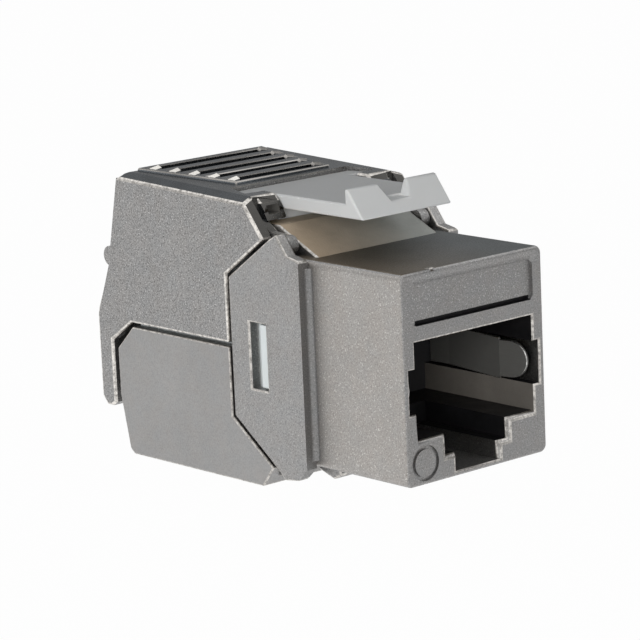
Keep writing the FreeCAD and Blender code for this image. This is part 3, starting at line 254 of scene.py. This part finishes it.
class StudioSettings(bpy.types.PropertyGroup):
    """Floor, light and camera."""
    world: bpy.props.FloatProperty(
        name="World", description="Strength of the light from all round",
        min=0.0, max=4.0, default=0.30)
    key: bpy.props.FloatProperty(
        name="Key", description="Power of the lamp beside the jack",
        subtype="POWER", unit="POWER", min=0.0, max=10.0, default=1.2)
    drop: bpy.props.FloatProperty(
        name="Room below", description="Height over the floor, so that the lower cover can open",
        subtype="DISTANCE", unit="LENGTH", min=0.0, max=0.1, default=0.021)
    lens: bpy.props.FloatProperty(
        name="Lens", description="Focal length of the camera",
        subtype="DISTANCE_CAMERA", unit="CAMERA", min=20.0, max=400.0, default=180.9)


# ---------------------------------------------------------------- node helpers

def add(tree, kind, **values):
    """Add a node and set its sockets and its properties by name."""
    node = tree.nodes.new(kind)
    for key, value in values.items():
        if key in node.inputs:
            node.inputs[key].default_value = value
        else:
            setattr(node, key, value)
    return node


def link(tree, source, target):
    tree.links.new(source, target)


def start_material(name):
    """A new material with its shader and the object coordinates."""
    material = bpy.data.materials.new(name)
    material.use_nodes = True
    tree = material.node_tree
    place = add(tree, "ShaderNodeTexCoord")
    return material, tree, tree.nodes["Principled BSDF"], place.outputs["Object"]


def bare_tree(block):
    """The node tree of a material or a world, emptied."""
    block.use_nodes = True
    block.node_tree.nodes.clear()
    return block.node_tree


def noise(tree, place, scale, detail=2.0, rough=0.5):
    """Noise with a number of grains to the metre, as a grey."""
    node = add(tree, "ShaderNodeTexNoise", Scale=scale, Detail=detail, Roughness=rough)
    link(tree, place, node.inputs["Vector"])
    return node.outputs["Fac"]


def ramp(tree, source, stops):
    """A colour ramp from pairs of a position and a grey or a colour."""
    node = add(tree, "ShaderNodeValToRGB")
    elements = node.color_ramp.elements
    while len(elements) < len(stops):
        elements.new(0.5)
    for element, (position, tone) in zip(elements, stops):
        element.position = position
        element.color = (tone, tone, tone, 1.0) if isinstance(tone, float) else (*tone, 1.0)
    link(tree, source, node.inputs["Fac"])
    return node.outputs["Color"]


def mix(tree, amount, first, second, blend="MIX"):
    """Mix two colours by an amount; each of the three may be a socket or a plain value."""
    node = add(tree, "ShaderNodeMix", data_type="RGBA", blend_type=blend)
    for name, value in (("Factor", amount), ("A", first), ("B", second)):
        socket = next(s for s in node.inputs if s.name == name and s.enabled)
        if isinstance(value, bpy.types.NodeSocket):
            link(tree, value, socket)
        else:
            socket.default_value = value if name == "Factor" else (*value, 1.0)
    return next(s for s in node.outputs if s.enabled)


def bump(tree, shader, height, strength, depth):
    """Raise a pattern on a shader's surface, by a depth in millimetres."""
    node = add(tree, "ShaderNodeBump", Strength=strength, Distance=depth * MM)
    link(tree, height, node.inputs["Height"])
    link(tree, node.outputs["Normal"], shader.inputs["Normal"])


def coat(tree, shader, base, rough, metallic):
    """Give a shader its colour and roughness patterns and its share of metal."""
    link(tree, base, shader.inputs["Base Color"])
    link(tree, rough, shader.inputs["Roughness"])
    shader.inputs["Metallic"].default_value = metallic


def tint(colour, factor):
    """A colour made darker or lighter, up to white."""
    return tuple(min(1.0, c * factor) for c in colour)


def tone_each(colour, factors):
    """A colour with a factor of its own on red, green and blue."""
    return tuple(c * k for c, k in zip(colour, factors))


# ---------------------------------------------------------------- finishes

def cast_metal(name, colour, roughness, grain=1.0):
    """Satin plated zinc: a pebbled skin, dark specks, pale specks painted as glints and a faint
    uneven tint.
    """
    material, tree, shader, place = start_material(name)
    cloud = noise(tree, place, scale=210.0, detail=3.0, rough=0.55)
    tone = ramp(tree, cloud, [(0.32, tint(colour, 0.94)), (0.52, colour),
                              (0.70, tint(colour, 1.06))])
    stain = noise(tree, place, scale=620.0, detail=3.0, rough=0.6)
    warm, cool = tone_each(colour, (1.03, 1.0, 0.98)), tone_each(colour, (0.98, 1.0, 1.02))
    base = mix(tree, 0.4, tone, ramp(tree, stain, [(0.38, warm), (0.62, cool)]))
    pebbles = noise(tree, place, scale=7800.0, detail=2.5, rough=0.6)
    speck = ramp(tree, pebbles, [(0.32, 1.0 - 0.45 * grain), (0.47, 1.0 - 0.12 * grain),
                                 (0.60, 1.0)])
    base = mix(tree, 1.0, base, speck, "MULTIPLY")
    # Painted highlight: a few specks made much paler, as glints.
    glints = noise(tree, place, scale=9400.0, detail=1.0)
    painted_glint = ramp(tree, glints, [(0.60, 0.0), (0.74, 0.85 * grain)])
    base = mix(tree, painted_glint, base, tint(colour, 2.3))
    rough = ramp(tree, pebbles, [(0.30, roughness + 0.12), (0.66, roughness - 0.10)])
    coat(tree, shader, base, rough, metallic=1.0)
    bump(tree, shader, pebbles, strength=0.8 * grain, depth=0.06)
    return material


def matt_metal_painted_reflection(name, colour, roughness, metallic):
    """Matt zinc with a painted reflection: warmer at the left and cooler at the right."""
    material, tree, shader, place = start_material(name)
    spread = add(tree, "ShaderNodeSeparateXYZ")
    link(tree, place, spread.inputs[0])
    side = add(tree, "ShaderNodeMapRange", **{"From Min": -8.0 * MM, "From Max": 8.0 * MM})
    link(tree, spread.outputs["X"], side.inputs["Value"])
    # Painted reflection: the tint runs warm at the left and cool at the right, for what the faces
    # mirror.
    warm, cool = tone_each(colour, (1.12, 0.95, 0.76)), tone_each(colour, (0.80, 0.90, 0.98))
    painted_reflection_tint = ramp(tree, side.outputs["Result"], [(0.05, warm), (0.75, cool)])
    cloud = noise(tree, place, scale=420.0, detail=3.0, rough=0.6)
    base = mix(tree, 1.0, painted_reflection_tint, ramp(tree, cloud, [(0.3, 0.82), (0.7, 1.0)]), "MULTIPLY")
    fine = noise(tree, place, scale=7000.0, detail=2.0, rough=0.6)
    rough = ramp(tree, fine, [(0.3, roughness + 0.08), (0.7, roughness - 0.08)])
    coat(tree, shader, base, rough, metallic)
    bump(tree, shader, fine, strength=0.5, depth=0.05)
    return material


def polished_metal(name, colour):
    """Rubbed zinc: glossy, with fine pits."""
    material, tree, shader, place = start_material(name)
    cloud = noise(tree, place, scale=260.0, detail=3.0)
    base = ramp(tree, cloud, [(0.35, tint(colour, 0.85)), (0.65, tint(colour, 1.15))])
    pits = noise(tree, place, scale=4200.0, detail=3.0, rough=0.6)
    coat(tree, shader, base, ramp(tree, pits, [(0.3, 0.34), (0.7, 0.22)]), metallic=1.0)
    bump(tree, shader, pits, strength=0.22, depth=0.05)
    return material


def painted_shade_bore(name, colour):
    """Painted shade in the port, which little light reaches: a near-black rough metal."""
    material, tree, shader, place = start_material(name)
    cloud = noise(tree, place, scale=500.0, detail=3.0, rough=0.6)
    base = ramp(tree, cloud, [(0.3, tint(colour, 0.7)), (0.7, tint(colour, 1.2))])
    coat(tree, shader, base, ramp(tree, cloud, [(0.3, 0.42), (0.7, 0.6)]), metallic=0.6)
    bump(tree, shader, noise(tree, place, scale=5200.0), strength=0.3, depth=0.04)
    return material


def burnished_metal_and_highlight(name, colour):
    """Edges rubbed bright by handling, in patches; their pale colour is also a painted highlight.
    """
    material, tree, shader, place = start_material(name)
    wear = noise(tree, place, scale=3200.0, detail=4.0, rough=0.7)
    base = ramp(tree, wear, [(0.36, tint(colour, 0.5)), (0.50, tint(colour, 0.95)),
                             (0.62, tint(colour, 1.25))])
    coat(tree, shader, base, ramp(tree, wear, [(0.30, 0.42), (0.70, 0.24)]), metallic=1.0)
    bump(tree, shader, wear, strength=0.15, depth=0.03)
    return material


def moulded_plastic(name, colour, roughness, glow, reach=1.0):
    """Plain eroded moulding; its skin glows with light to a reach in millimetres under it."""
    material, tree, shader, place = start_material(name)
    cloud = noise(tree, place, scale=260.0)
    base = ramp(tree, cloud, [(0.3, tint(colour, 0.965)), (0.7, colour)])
    fine = noise(tree, place, scale=6000.0)
    rough = ramp(tree, fine, [(0.3, roughness - 0.06), (0.7, roughness + 0.06)])
    coat(tree, shader, base, rough, metallic=0.0)
    shader.inputs["Subsurface Weight"].default_value = glow
    shader.inputs["Subsurface Radius"].default_value = Vector((1.0, 0.92, 0.84)) * reach * MM
    bump(tree, shader, fine, strength=0.10, depth=0.03)
    return material


def plated_spring(name, colour, roughness, metallic=1.0):
    """Plated spring metal with fine drawing lines."""
    material, tree, shader, place = start_material(name)
    stretch = add(tree, "ShaderNodeMapping", Scale=(1.0, 0.06, 1.0))
    link(tree, place, stretch.inputs["Vector"])
    lines = noise(tree, stretch.outputs["Vector"], scale=9000.0)
    base = ramp(tree, lines, [(0.3, tint(colour, 0.92)), (0.7, colour)])
    rough = ramp(tree, lines, [(0.3, roughness - 0.05), (0.7, roughness + 0.08)])
    coat(tree, shader, base, rough, metallic)
    bump(tree, shader, lines, strength=0.04, depth=0.01)
    return material


def board_laminate(name, colour):
    """Solder-masked laminate with the weave just showing."""
    material, tree, shader, place = start_material(name)
    weave = add(tree, "ShaderNodeTexWave", Scale=900.0, Distortion=1.5)
    link(tree, place, weave.inputs["Vector"])
    base = ramp(tree, weave.outputs["Fac"], [(0.2, tint(colour, 0.8)), (0.8, tint(colour, 1.15))])
    link(tree, base, shader.inputs["Base Color"])
    shader.inputs["Roughness"].default_value = 0.35
    bump(tree, shader, weave.outputs["Fac"], strength=0.08, depth=0.03)
    return material


# ---------------------------------------------------------------- places on the jack
# Each test takes the middle of a face or an edge, in millimetres, and a normal.

def inside(zone, centre):
    """Whether a point lies in a zone."""
    place = {"side": abs(centre.x), "back": centre.y, "up": centre.z}
    return all(low < place[way] < high for way, (low, high) in ZONES[zone].items())


def in_port(centre, normal):
    """Inside the plug opening, behind the face's rounded rim, painted near black as shade."""
    return inside("port", centre)


def on_port_wall(centre, normal):
    """The port's upright walls between its steps, which the light reaches, painted lighter as lit.
    """
    return inside("port_wall", centre) and abs(normal.x) > SQUARE_ON


def on_front_face(centre, normal):
    """The face round the port, with its label field and ejector mark, painted darker as shade."""
    return inside("front_face", centre) and normal.y < -SQUARE_ON


def in_label_foot(centre, normal):
    """The deep groove along the foot of the label field, painted near black as shade."""
    return inside("label_foot", centre)


def on_box_top(centre, normal):
    """On the top of the front box, which gets a darker painted reflection."""
    return inside("box_top", centre) and normal.z > SQUARE_ON


def on_box_side(centre, normal):
    """The two long sides of the front box, painted lighter as lit."""
    return inside("box_side", centre) and abs(normal.x) > STEEP


def on_shoulder(centre, normal):
    """The set-back step between the box and the panel plates, painted darker as shade."""
    return inside("shoulder", centre)


def on_ramp(centre, normal):
    """On the ramp behind the box and the bridge that it leads up to, which gets the painted light
    of a pale tan.
    """
    return inside("ramp", centre) and normal.z > SLOPING


def on_cover_top(centre, normal):
    """On the sloping top of the cover and its ears, in its mouth and all over its grip pad: a real
    polish, with its dark colour a painted reflection.
    """
    return inside("cover_top", centre) and (
        normal.z > LEANING or inside("cover_mouth", centre) or inside("grip_pad", centre))


def in_groove(centre, normal):
    """The walls of the grip pad's grooves, between the pad's flared sides, painted darker as shade.
    """
    half = PAD_HALF_WIDTH + PAD_FLARE * (centre.y - PAD_FRONT)
    return inside("grooves", centre) and abs(normal.z) < STEEP and abs(centre.x) < half


def on_pad_line(centre, normal):
    """The edges of the grip pad and its grooves, painted as thin highlight lines."""
    return inside("pad_lines", centre)


def on_ear(centre, normal):
    """The fronts of the two ears beside the latch, and the strip below them, painted dark as shade.
    """
    return inside("ears", centre) and normal.y < -LEANING


def in_ear(centre, normal):
    """Inside the hollow of each ear."""
    return inside("ear_hollow", centre)


def kept_crisp(centre, normal):
    """The shoulder, the ejector mark, the label field and the port's depth stay sharp."""
    in_mark = centre.x < 0.0 and inside("ejector_mark", centre)
    return in_mark or any(inside(z, centre) for z in ("label_field", "port_depth", "shoulder"))


def is_groove_end(face):
    """Whether a face is the sloping end of one of the grip pad's grooves."""
    centre, normal = face.calc_center_median() / MM, face.normal
    looks_in = abs(normal.x) > END_LEANING and normal.z > END_LEANING and normal.x * centre.x < 0.0
    low, high = END_AREA
    return looks_in and inside("groove_ends", centre) and low < face.calc_area() / MM ** 2 < high


# ---------------------------------------------------------------- mesh helpers

def joined_copy(node):
    """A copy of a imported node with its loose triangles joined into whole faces."""
    bm = bmesh.new()
    bm.from_mesh(NODES[node].data)
    bmesh.ops.remove_doubles(bm, verts=bm.verts, dist=JOIN_DISTANCE)
    bmesh.ops.dissolve_degenerate(bm, dist=JOIN_DISTANCE, edges=bm.edges)
    bmesh.ops.dissolve_limit(bm, angle_limit=JOIN_TURN, verts=bm.verts, edges=bm.edges)
    return bm


def show(data):
    """Put a mesh, a lamp or a camera into the scene, under its own name."""
    thing = bpy.data.objects.new(data.name, data)
    bpy.context.scene.collection.objects.link(thing)
    return thing


def show_mesh(name, bm, materials):
    """Write a mesh and put it into the scene in its materials."""
    mesh = bpy.data.meshes.new(name)
    bm.to_mesh(mesh)
    bm.free()
    for material in materials:
        mesh.materials.append(material)
    return show(mesh)


def go_with(piece, node):
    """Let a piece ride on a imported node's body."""
    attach(piece, next(body for body, members in BODIES.items() if node in members))


def is_flat(face):
    """Whether a face is broad enough, and not part of a faceted curve, to be shaded flat."""
    longest = max(face.edges, key=lambda edge: edge.calc_length())
    breadth = face.calc_area() / longest.calc_length()
    if breadth < ROUND_BREADTH or breadth > FLAT_BREADTH:
        return breadth > FLAT_BREADTH
    angle = math.degrees(longest.calc_face_angle(0.0)) if len(longest.link_faces) == 2 else 0.0
    low, high = FACET_TURN
    return not low < angle < high


def is_fold(edge):
    """Whether smooth shading ends at an edge, because a broad face starts there."""
    areas = [face.calc_area() / MM ** 2 for face in edge.link_faces]
    return len(areas) == 2 and edge.calc_face_angle(0.0) > FOLD_TURN \
        and max(areas) > BROAD_AREA and min(areas) > SLIVER_AREA


def replace_node(name, bm, node, materials):
    """Shade a reworked copy flat or smooth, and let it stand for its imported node."""
    for face in bm.faces:
        face.smooth = not is_flat(face)
    for edge in bm.edges:
        edge.seam = is_fold(edge)
    bmesh.ops.triangulate(bm, faces=[face for face in bm.faces if len(face.verts) > 4])
    curved = [face.smooth for face in bm.faces]
    piece = show_mesh(name, bm, materials)
    piece.data.set_sharp_from_angle(angle=CORNER_TURN)
    piece.data.polygons.foreach_set("use_smooth", curved)
    for edge in piece.data.edges:
        edge.use_edge_sharp = edge.use_edge_sharp or edge.use_seam
        edge.use_seam = False
    go_with(piece, node)
    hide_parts(node)


def has_room(edge, width):
    """Whether the faces and edges round an edge leave room for a rounding of a width."""
    along = edge.calc_length()
    near, far = ROOM_BLOCKED
    if along < ROOM_ALONG * width:
        return False
    for face in edge.link_faces:
        if face.calc_area() < ROOM_BESIDE * width * along:
            return False
        for vert in edge.verts:
            ahead = (edge.other_vert(vert).co - vert.co).normalized()
            for other in vert.link_edges:
                if other is edge or other not in face.edges:
                    continue
                turn = (other.other_vert(vert).co - vert.co).normalized().dot(ahead)
                reach = other.calc_length() * math.sqrt(max(0.0, 1.0 - turn * turn))
                if turn > STRAIGHT_ON and near * width < reach < far * width:
                    return False
    return True


def round_edges(bm, width, segments=2, slot=1, leave=None):
    """Round the outward corners, apart from those to leave, in their own material slot."""
    edges = [edge for edge in bm.edges if len(edge.link_faces) == 2 and edge.is_convex
             and edge.calc_face_angle(0.0) > CORNER_TURN and has_room(edge, width)]
    if leave:
        edges = [edge for edge in edges if not leave(
            (edge.verts[0].co + edge.verts[1].co) / (2 * MM), edge.link_faces[0].normal)]
    bmesh.ops.bevel(bm, geom=edges, offset=width, offset_type="OFFSET", segments=segments,
                    profile=0.5, affect="EDGES", clamp_overlap=False, material=slot)


def paint(bm, slot, test, worn_highlit_edge=False):
    """Give a slot to the faces, or to the worn edges with their painted highlight, that pass a
    test.
    """
    for face in bm.faces:
        centre = face.calc_center_median() / MM
        if (face.material_index == 1) == worn_highlit_edge and test(centre, face.normal):
            face.material_index = slot


def make_run_outs(materials):
    """Small run-outs where the grip pad's grooves end, with a painted highlight on the left only.
    """
    cover, bm = joined_copy("upper_cover"), bmesh.new()
    for face in filter(is_groove_end, cover.faces):
        side = -1.0 if face.normal.x > 0.0 else 1.0
        start = max((vert.co for vert in face.verts), key=lambda co: co.x * side)
        back = face.calc_center_median().y
        size = Matrix.Diagonal((*RUN_OUT_SIZE, 1.0))
        turn = Matrix.Rotation(RUN_OUT_LEAN * side, 4, "Y") @ Matrix.Rotation(RUN_OUT_TURN, 4, "X")
        place = Matrix.Translation((start.x - side * RUN_OUT_SHIFT, back, start.z - RUN_OUT_SINK))
        made = bmesh.ops.create_cube(bm, size=1.0, matrix=place @ turn @ size)
        for part in {part for vert in made["verts"] for part in vert.link_faces}:
            # The left run-outs take the painted highlight, the right ones the dimmer line.
            part.material_index = 0 if side < 0.0 else 1
        edges = list({edge for vert in made["verts"] for edge in vert.link_edges})
        bmesh.ops.bevel(bm, geom=edges, offset=RUN_OUT_ROUND, offset_type="OFFSET", segments=2,
                        profile=0.5, affect="EDGES", material=-1)
    cover.free()
    go_with(show_mesh("grip_pad_run_outs", bm, materials), "upper_cover")


def dress_node(node, material):
    """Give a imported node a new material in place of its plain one."""
    materials = NODES[node].data.materials
    materials.clear()
    materials.append(material)


# ---------------------------------------------------------------- studio helpers

def larger(tree, first, second):
    """The larger of two greys."""
    node = add(tree, "ShaderNodeMath", operation="MAXIMUM")
    link(tree, first, node.inputs[0])
    link(tree, second, node.inputs[1])
    return node.outputs[0]


def shown_white(tree):
    """1 for rays from the camera, a mirror or glass, else 0."""
    path = add(tree, "ShaderNodeLightPath").outputs
    return larger(tree, larger(tree, path["Is Camera Ray"], path["Is Glossy Ray"]),
                  path["Is Transmission Ray"])


def finish_tree(tree, output, amount, plain, white):
    """Blend what lights the jack into what the background shows, and end the tree."""
    blend = add(tree, "ShaderNodeMixShader")
    link(tree, amount, blend.inputs["Fac"])
    link(tree, plain.outputs[0], blend.inputs[1])
    link(tree, white.outputs[0], blend.inputs[2])
    link(tree, blend.outputs[0], add(tree, output).inputs["Surface"])


def make_floor(level):
    """A wide pale floor, white to the camera but for a trace of its own light and shade."""
    bm = bmesh.new()
    bmesh.ops.create_grid(bm, x_segments=1, y_segments=1, size=FLOOR_REACH)
    bmesh.ops.translate(bm, verts=bm.verts, vec=(0, 0, level))
    material = bpy.data.materials.new("pale_floor")
    tree = bare_tree(material)
    plain = add(tree, "ShaderNodeBsdfDiffuse", Color=FLOOR_GREY)
    white = add(tree, "ShaderNodeEmission", Color=WHITE)
    share = add(tree, "ShaderNodeMath", operation="MULTIPLY")
    link(tree, shown_white(tree), share.inputs[0])
    share.inputs[1].default_value = FLOOR_WHITE_SHARE
    finish_tree(tree, "ShaderNodeOutputMaterial", share.outputs[0], plain, white)
    show_mesh("floor", bm, [material])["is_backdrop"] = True


def make_world(strength):
    """Even light from all round, shown as white."""
    world = bpy.data.worlds.new("studio")
    bpy.context.scene.world = world
    tree = bare_tree(world)
    light = add(tree, "ShaderNodeBackground", Color=SKY, Strength=strength)
    white = add(tree, "ShaderNodeBackground", Color=WHITE, Strength=1.0)
    finish_tree(tree, "ShaderNodeOutputWorld", shown_white(tree), light, white)


def facing(place, target):
    """The turn that points a lamp, a flag or a camera at a target."""
    return (target - place).to_track_quat("-Z", "Y").to_matrix()


def make_lamp(place, target, power):
    """A soft round lamp beside the jack, which polished faces don't mirror."""
    lamp = bpy.data.lights.new("side", "AREA")
    lamp.shape = "DISK"
    lamp.size = LAMP_WIDTH
    lamp.energy = power
    thing = show(lamp)
    thing.visible_glossy = False
    thing.location = place
    thing.rotation_euler = facing(place, target).to_euler()


def make_flag(name, place, target, width, height, grey):
    """A matt studio card that only polished surfaces see; it darkens what they mirror."""
    bm = bmesh.new()
    bmesh.ops.create_grid(bm, x_segments=1, y_segments=1, size=0.5)
    bmesh.ops.scale(bm, verts=bm.verts, vec=(width, height, 1.0))
    stand = Matrix.Translation(place) @ facing(place, target).to_4x4()
    bmesh.ops.transform(bm, verts=bm.verts, matrix=stand)
    material = bpy.data.materials.new(name)
    tree = bare_tree(material)
    glow = add(tree, "ShaderNodeEmission", Color=(grey, grey, grey, 1.0))
    link(tree, glow.outputs[0], add(tree, "ShaderNodeOutputMaterial").inputs["Surface"])
    flag = show_mesh(name, bm, [material])
    flag.visible_camera = False
    flag.visible_diffuse = False
    flag.visible_transmission = False
    flag.visible_shadow = False
    flag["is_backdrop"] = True


def make_camera(lens):
    """The camera, looking down at the jack from its front left."""
    camera = bpy.data.cameras.new("camera")
    camera.lens = lens
    camera.sensor_width = SENSOR_WIDTH
    camera.clip_start = NEAREST
    camera.clip_end = FURTHEST
    thing = show(camera)
    level = math.cos(CAMERA_DIP)
    ahead = Vector((math.sin(CAMERA_AZIMUTH) * level, math.cos(CAMERA_AZIMUTH) * level,
                    -math.sin(CAMERA_DIP)))
    turn = facing(CAMERA_PLACE, CAMERA_PLACE + ahead) @ Matrix.Rotation(CAMERA_ROLL, 3, "Z")
    thing.location = CAMERA_PLACE
    thing.rotation_euler = turn.to_euler()
    bpy.context.scene.camera = thing


# ---------------------------------------------------------------- operators

class JACK_OT_shell(bpy.types.Operator):
    """Dress the die-cast housing and its two covers"""
    bl_idname = "jack.shell"
    bl_label = "Die-Cast Shell"

    def execute(self, context):
        look = context.scene.jack_shell
        # Worn edges with a painted highlight in their pale colour.
        rubbed_highlit_edge = burnished_metal_and_highlight("cast_edge_worn_and_highlit", look.edge)
        worn_highlit_edge = burnished_metal_and_highlight("cast_edge_dim_wear_and_highlight", tint(look.edge, 0.78))
        # Painted highlight: bright run-outs at the left ends of the grip pad's grooves.
        run_out_highlight = polished_metal("run_out_painted_highlight", tint(look.edge, 1.2))
        # Painted highlight: thin pale lines along the grip pad's edges.
        pad_line_highlight = polished_metal("pad_line_painted_highlight", tint(look.edge, 0.62))
        # Painted shade: the face round the port is about a sixth darker than the cast metal.
        face = cast_metal("front_face_painted_shade", tint(look.metal, 0.84), look.roughness, grain=0.6)
        # Painted light: the box sides are about a fifth lighter and warmer than the cast metal, as
        # lit from the side.
        warm = tone_each(look.metal, (1.22, 1.18, 1.14))
        side = cast_metal("box_side_painted_light", warm, look.roughness, grain=0.6)
        # Painted shade: the set-back shoulder is about a quarter darker than the cast metal.
        shoulder = cast_metal("shoulder_painted_shade", tint(look.metal, 0.76), look.roughness, grain=0.4)
        # Painted shade: near black in the port and the label's foot groove.
        bore_painted_shade = painted_shade_bore("port_painted_shade", look.bore_painted_shade)
        # Painted light: the port's upright walls are lighter than the painted shade of the rest of
        # the port.
        lit_wall_olive = tone_each(look.ramp_painted_light, (0.37, 0.33, 0.31))
        painted_lit_wall = matt_metal_painted_reflection("port_wall_painted_light", lit_wall_olive, roughness=0.5, metallic=0.2)
        # Painted reflection: a darker top on the front box.
        painted_top_sheen = matt_metal_painted_reflection("box_top_painted_sheen", look.box_top, roughness=0.42, metallic=0.9)
        # Painted light: a pale tan on the ramp under the latch.
        ramp_painted_light = matt_metal_painted_reflection("ramp_painted_tan_light", look.ramp_painted_light, roughness=0.6, metallic=0.35)
        # Painted reflection: a dark grey on the polished cover top.
        polished = polished_metal("cover_polish_painted_dark", look.polished)
        # Painted shade: darker walls in the grip pad's grooves.
        groove_shade = polished_metal("groove_painted_shade", tint(look.polished, 0.55))
        # Painted shade: dark fronts on the ears and the strip below them.
        ear_shade = polished_metal("ear_painted_shade", tint(look.box_top, 0.45))
        hollow = matt_metal_painted_reflection("ear_hollow_matt", tint(look.polished, 0.75), roughness=0.5,
                              metallic=0.2)
        # Each casting's colour, grain, edges, share of the rounding's width, and finishes by place,
        # which paint light and shade onto it.
        castings = (
            ("front_housing", tint(look.metal, 1.03), 0.6, worn_highlit_edge, 0.7,
             ((bore_painted_shade, in_port), (painted_lit_wall, on_port_wall), (painted_top_sheen, on_box_top), (ramp_painted_light, on_ramp),
              (side, on_box_side), (shoulder, on_shoulder), (face, on_front_face),
              (bore_painted_shade, in_label_foot))),
            ("upper_cover", look.metal, 1.0, rubbed_highlit_edge, 1.0,
             ((polished, on_cover_top), (groove_shade, in_groove), (ear_shade, on_ear), (hollow, in_ear),
              (pad_line_highlight, on_pad_line))),
            ("lower_cover", look.metal, 0.15, worn_highlit_edge, 0.6, ()),
        )
        for node, colour, grain, highlit_rim, share, finishes in castings:
            width = look.edge_round * share
            bm = joined_copy(node)
            round_edges(bm, width, leave=lambda *spot: kept_crisp(*spot) or on_pad_line(*spot))
            round_edges(bm, width * PAD_LINE_SHARE,
                        leave=lambda *spot: kept_crisp(*spot) or not on_pad_line(*spot))
            materials = [cast_metal(f"{node}_satin", colour, look.roughness, grain), highlit_rim]
            for finish, test in finishes:
                paint(bm, len(materials), test, worn_highlit_edge=test is on_pad_line)
                materials.append(finish)
            replace_node(f"{node}_cast", bm, node, materials)
        make_run_outs((run_out_highlight, pad_line_highlight))
        return {"FINISHED"}


class JACK_OT_plastics(bpy.types.Operator):
    """Dress the panel latch and the moulded inserts"""
    bl_idname = "jack.plastics"
    bl_label = "Moulded Plastics"

    def execute(self, context):
        look = context.scene.jack_plastic
        latch = moulded_plastic("latch_moulding", look.latch, roughness=0.40, glow=0.35, reach=1.8)
        insert = moulded_plastic("insert_moulding", look.insert, roughness=0.5, glow=0.05)
        dark = moulded_plastic("contact_moulding", look.dark, roughness=0.55, glow=0.0)
        # Each moulding's finish, share of the rounding's width, and steps in the rounding.
        mouldings = (
            ("keystone_latch", latch, 1.0, 3),
            ("contact_carrier", dark, 0.5, 2),
            ("contact_comb", dark, 0.5, 2),
            ("wiring_block", insert, 0.5, 2),
            ("wire_holder", insert, 0.5, 2),
        )
        for node, finish, share, steps in mouldings:
            bm = joined_copy(node)
            round_edges(bm, look.edge_round * share, segments=steps, slot=-1)
            replace_node(f"{node}_moulding", bm, node, [finish])
        return {"FINISHED"}


class JACK_OT_contacts(bpy.types.Operator):
    """Dress the contacts, blades, springs and the circuit board"""
    bl_idname = "jack.contacts"
    bl_label = "Contacts and Board"

    def execute(self, context):
        look = context.scene.jack_contact
        gold = plated_spring("contact_gold", look.gold, roughness=0.22)
        tin = plated_spring("blade_tin", look.tin, roughness=0.32)
        spring = plated_spring("spring_steel", look.spring, roughness=0.34, metallic=0.4)
        # The spring edges are a fifth lighter than the tin, as wear and a painted highlight.
        highlit_rim = burnished_metal_and_highlight("spring_rim_wear_and_highlight", tint(look.tin, 1.2))
        board = board_laminate("board_mask", look.laminate)
        for node in NODES:
            if node.startswith("port_contact"):
                dress_node(node, gold)
            elif node.startswith("wiring_blade"):
                dress_node(node, tin)
            elif node == "circuit_board":
                dress_node(node, board)
            elif node.startswith(("shield_leaf", "screen_clip")):
                bm = joined_copy(node)
                round_edges(bm, look.edge_round)
                replace_node(f"{node}_pressing", bm, node, [spring, highlit_rim])
        return {"FINISHED"}


class JACK_OT_studio(bpy.types.Operator):
    """Set up the floor, the world, the lamp, its flags and the camera"""
    bl_idname = "jack.studio"
    bl_label = "Studio"

    def execute(self, context):
        look = context.scene.jack_studio
        low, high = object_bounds()
        middle = (low + high) / 2
        make_floor(low.z - look.drop)
        make_world(look.world)
        make_lamp(middle + LAMP_PLACE, middle, look.key)
        for name, (place, width, height, grey) in FLAGS.items():
            make_flag(name, middle + place, middle, width, height, grey)
        make_camera(look.lens)
        context.scene.view_settings.view_transform = "Standard"
        return {"FINISHED"}


# ---------------------------------------------------------------- add-on

class JACK_PT_panel(bpy.types.Panel):
    """Buttons and settings of the jack"""
    bl_label = "Keystone Jack"
    bl_idname = "JACK_PT_panel"
    bl_space_type = "VIEW_3D"
    bl_region_type = "UI"
    bl_category = "Keystone Jack"

    def draw(self, context):
        for operator, group in STEPS:
            box = self.layout.box()
            box.operator(operator.bl_idname)
            settings = getattr(context.scene, group)
            for name in settings.__annotations__:
                box.prop(settings, name)


GROUPS = {
    "jack_shell": ShellSettings,
    "jack_plastic": PlasticSettings,
    "jack_contact": ContactSettings,
    "jack_studio": StudioSettings,
}
STEPS = [
    (JACK_OT_shell, "jack_shell"),
    (JACK_OT_plastics, "jack_plastic"),
    (JACK_OT_contacts, "jack_contact"),
    (JACK_OT_studio, "jack_studio"),
]


def register():
    for name, group in GROUPS.items():
        bpy.utils.register_class(group)
        setattr(bpy.types.Scene, name, bpy.props.PointerProperty(type=group))
    for operator, _ in STEPS:
        bpy.utils.register_class(operator)
    bpy.utils.register_class(JACK_PT_panel)


def unregister():
    bpy.utils.unregister_class(JACK_PT_panel)
    for operator, _ in reversed(STEPS):
        bpy.utils.unregister_class(operator)
    for name, group in GROUPS.items():
        delattr(bpy.types.Scene, name)
        bpy.utils.unregister_class(group)


def main():
    register()
    for operator, _ in STEPS:
        group, name = operator.bl_idname.split(".")
        getattr(getattr(bpy.ops, group), name)()


if __name__ == "__main__":
    main()
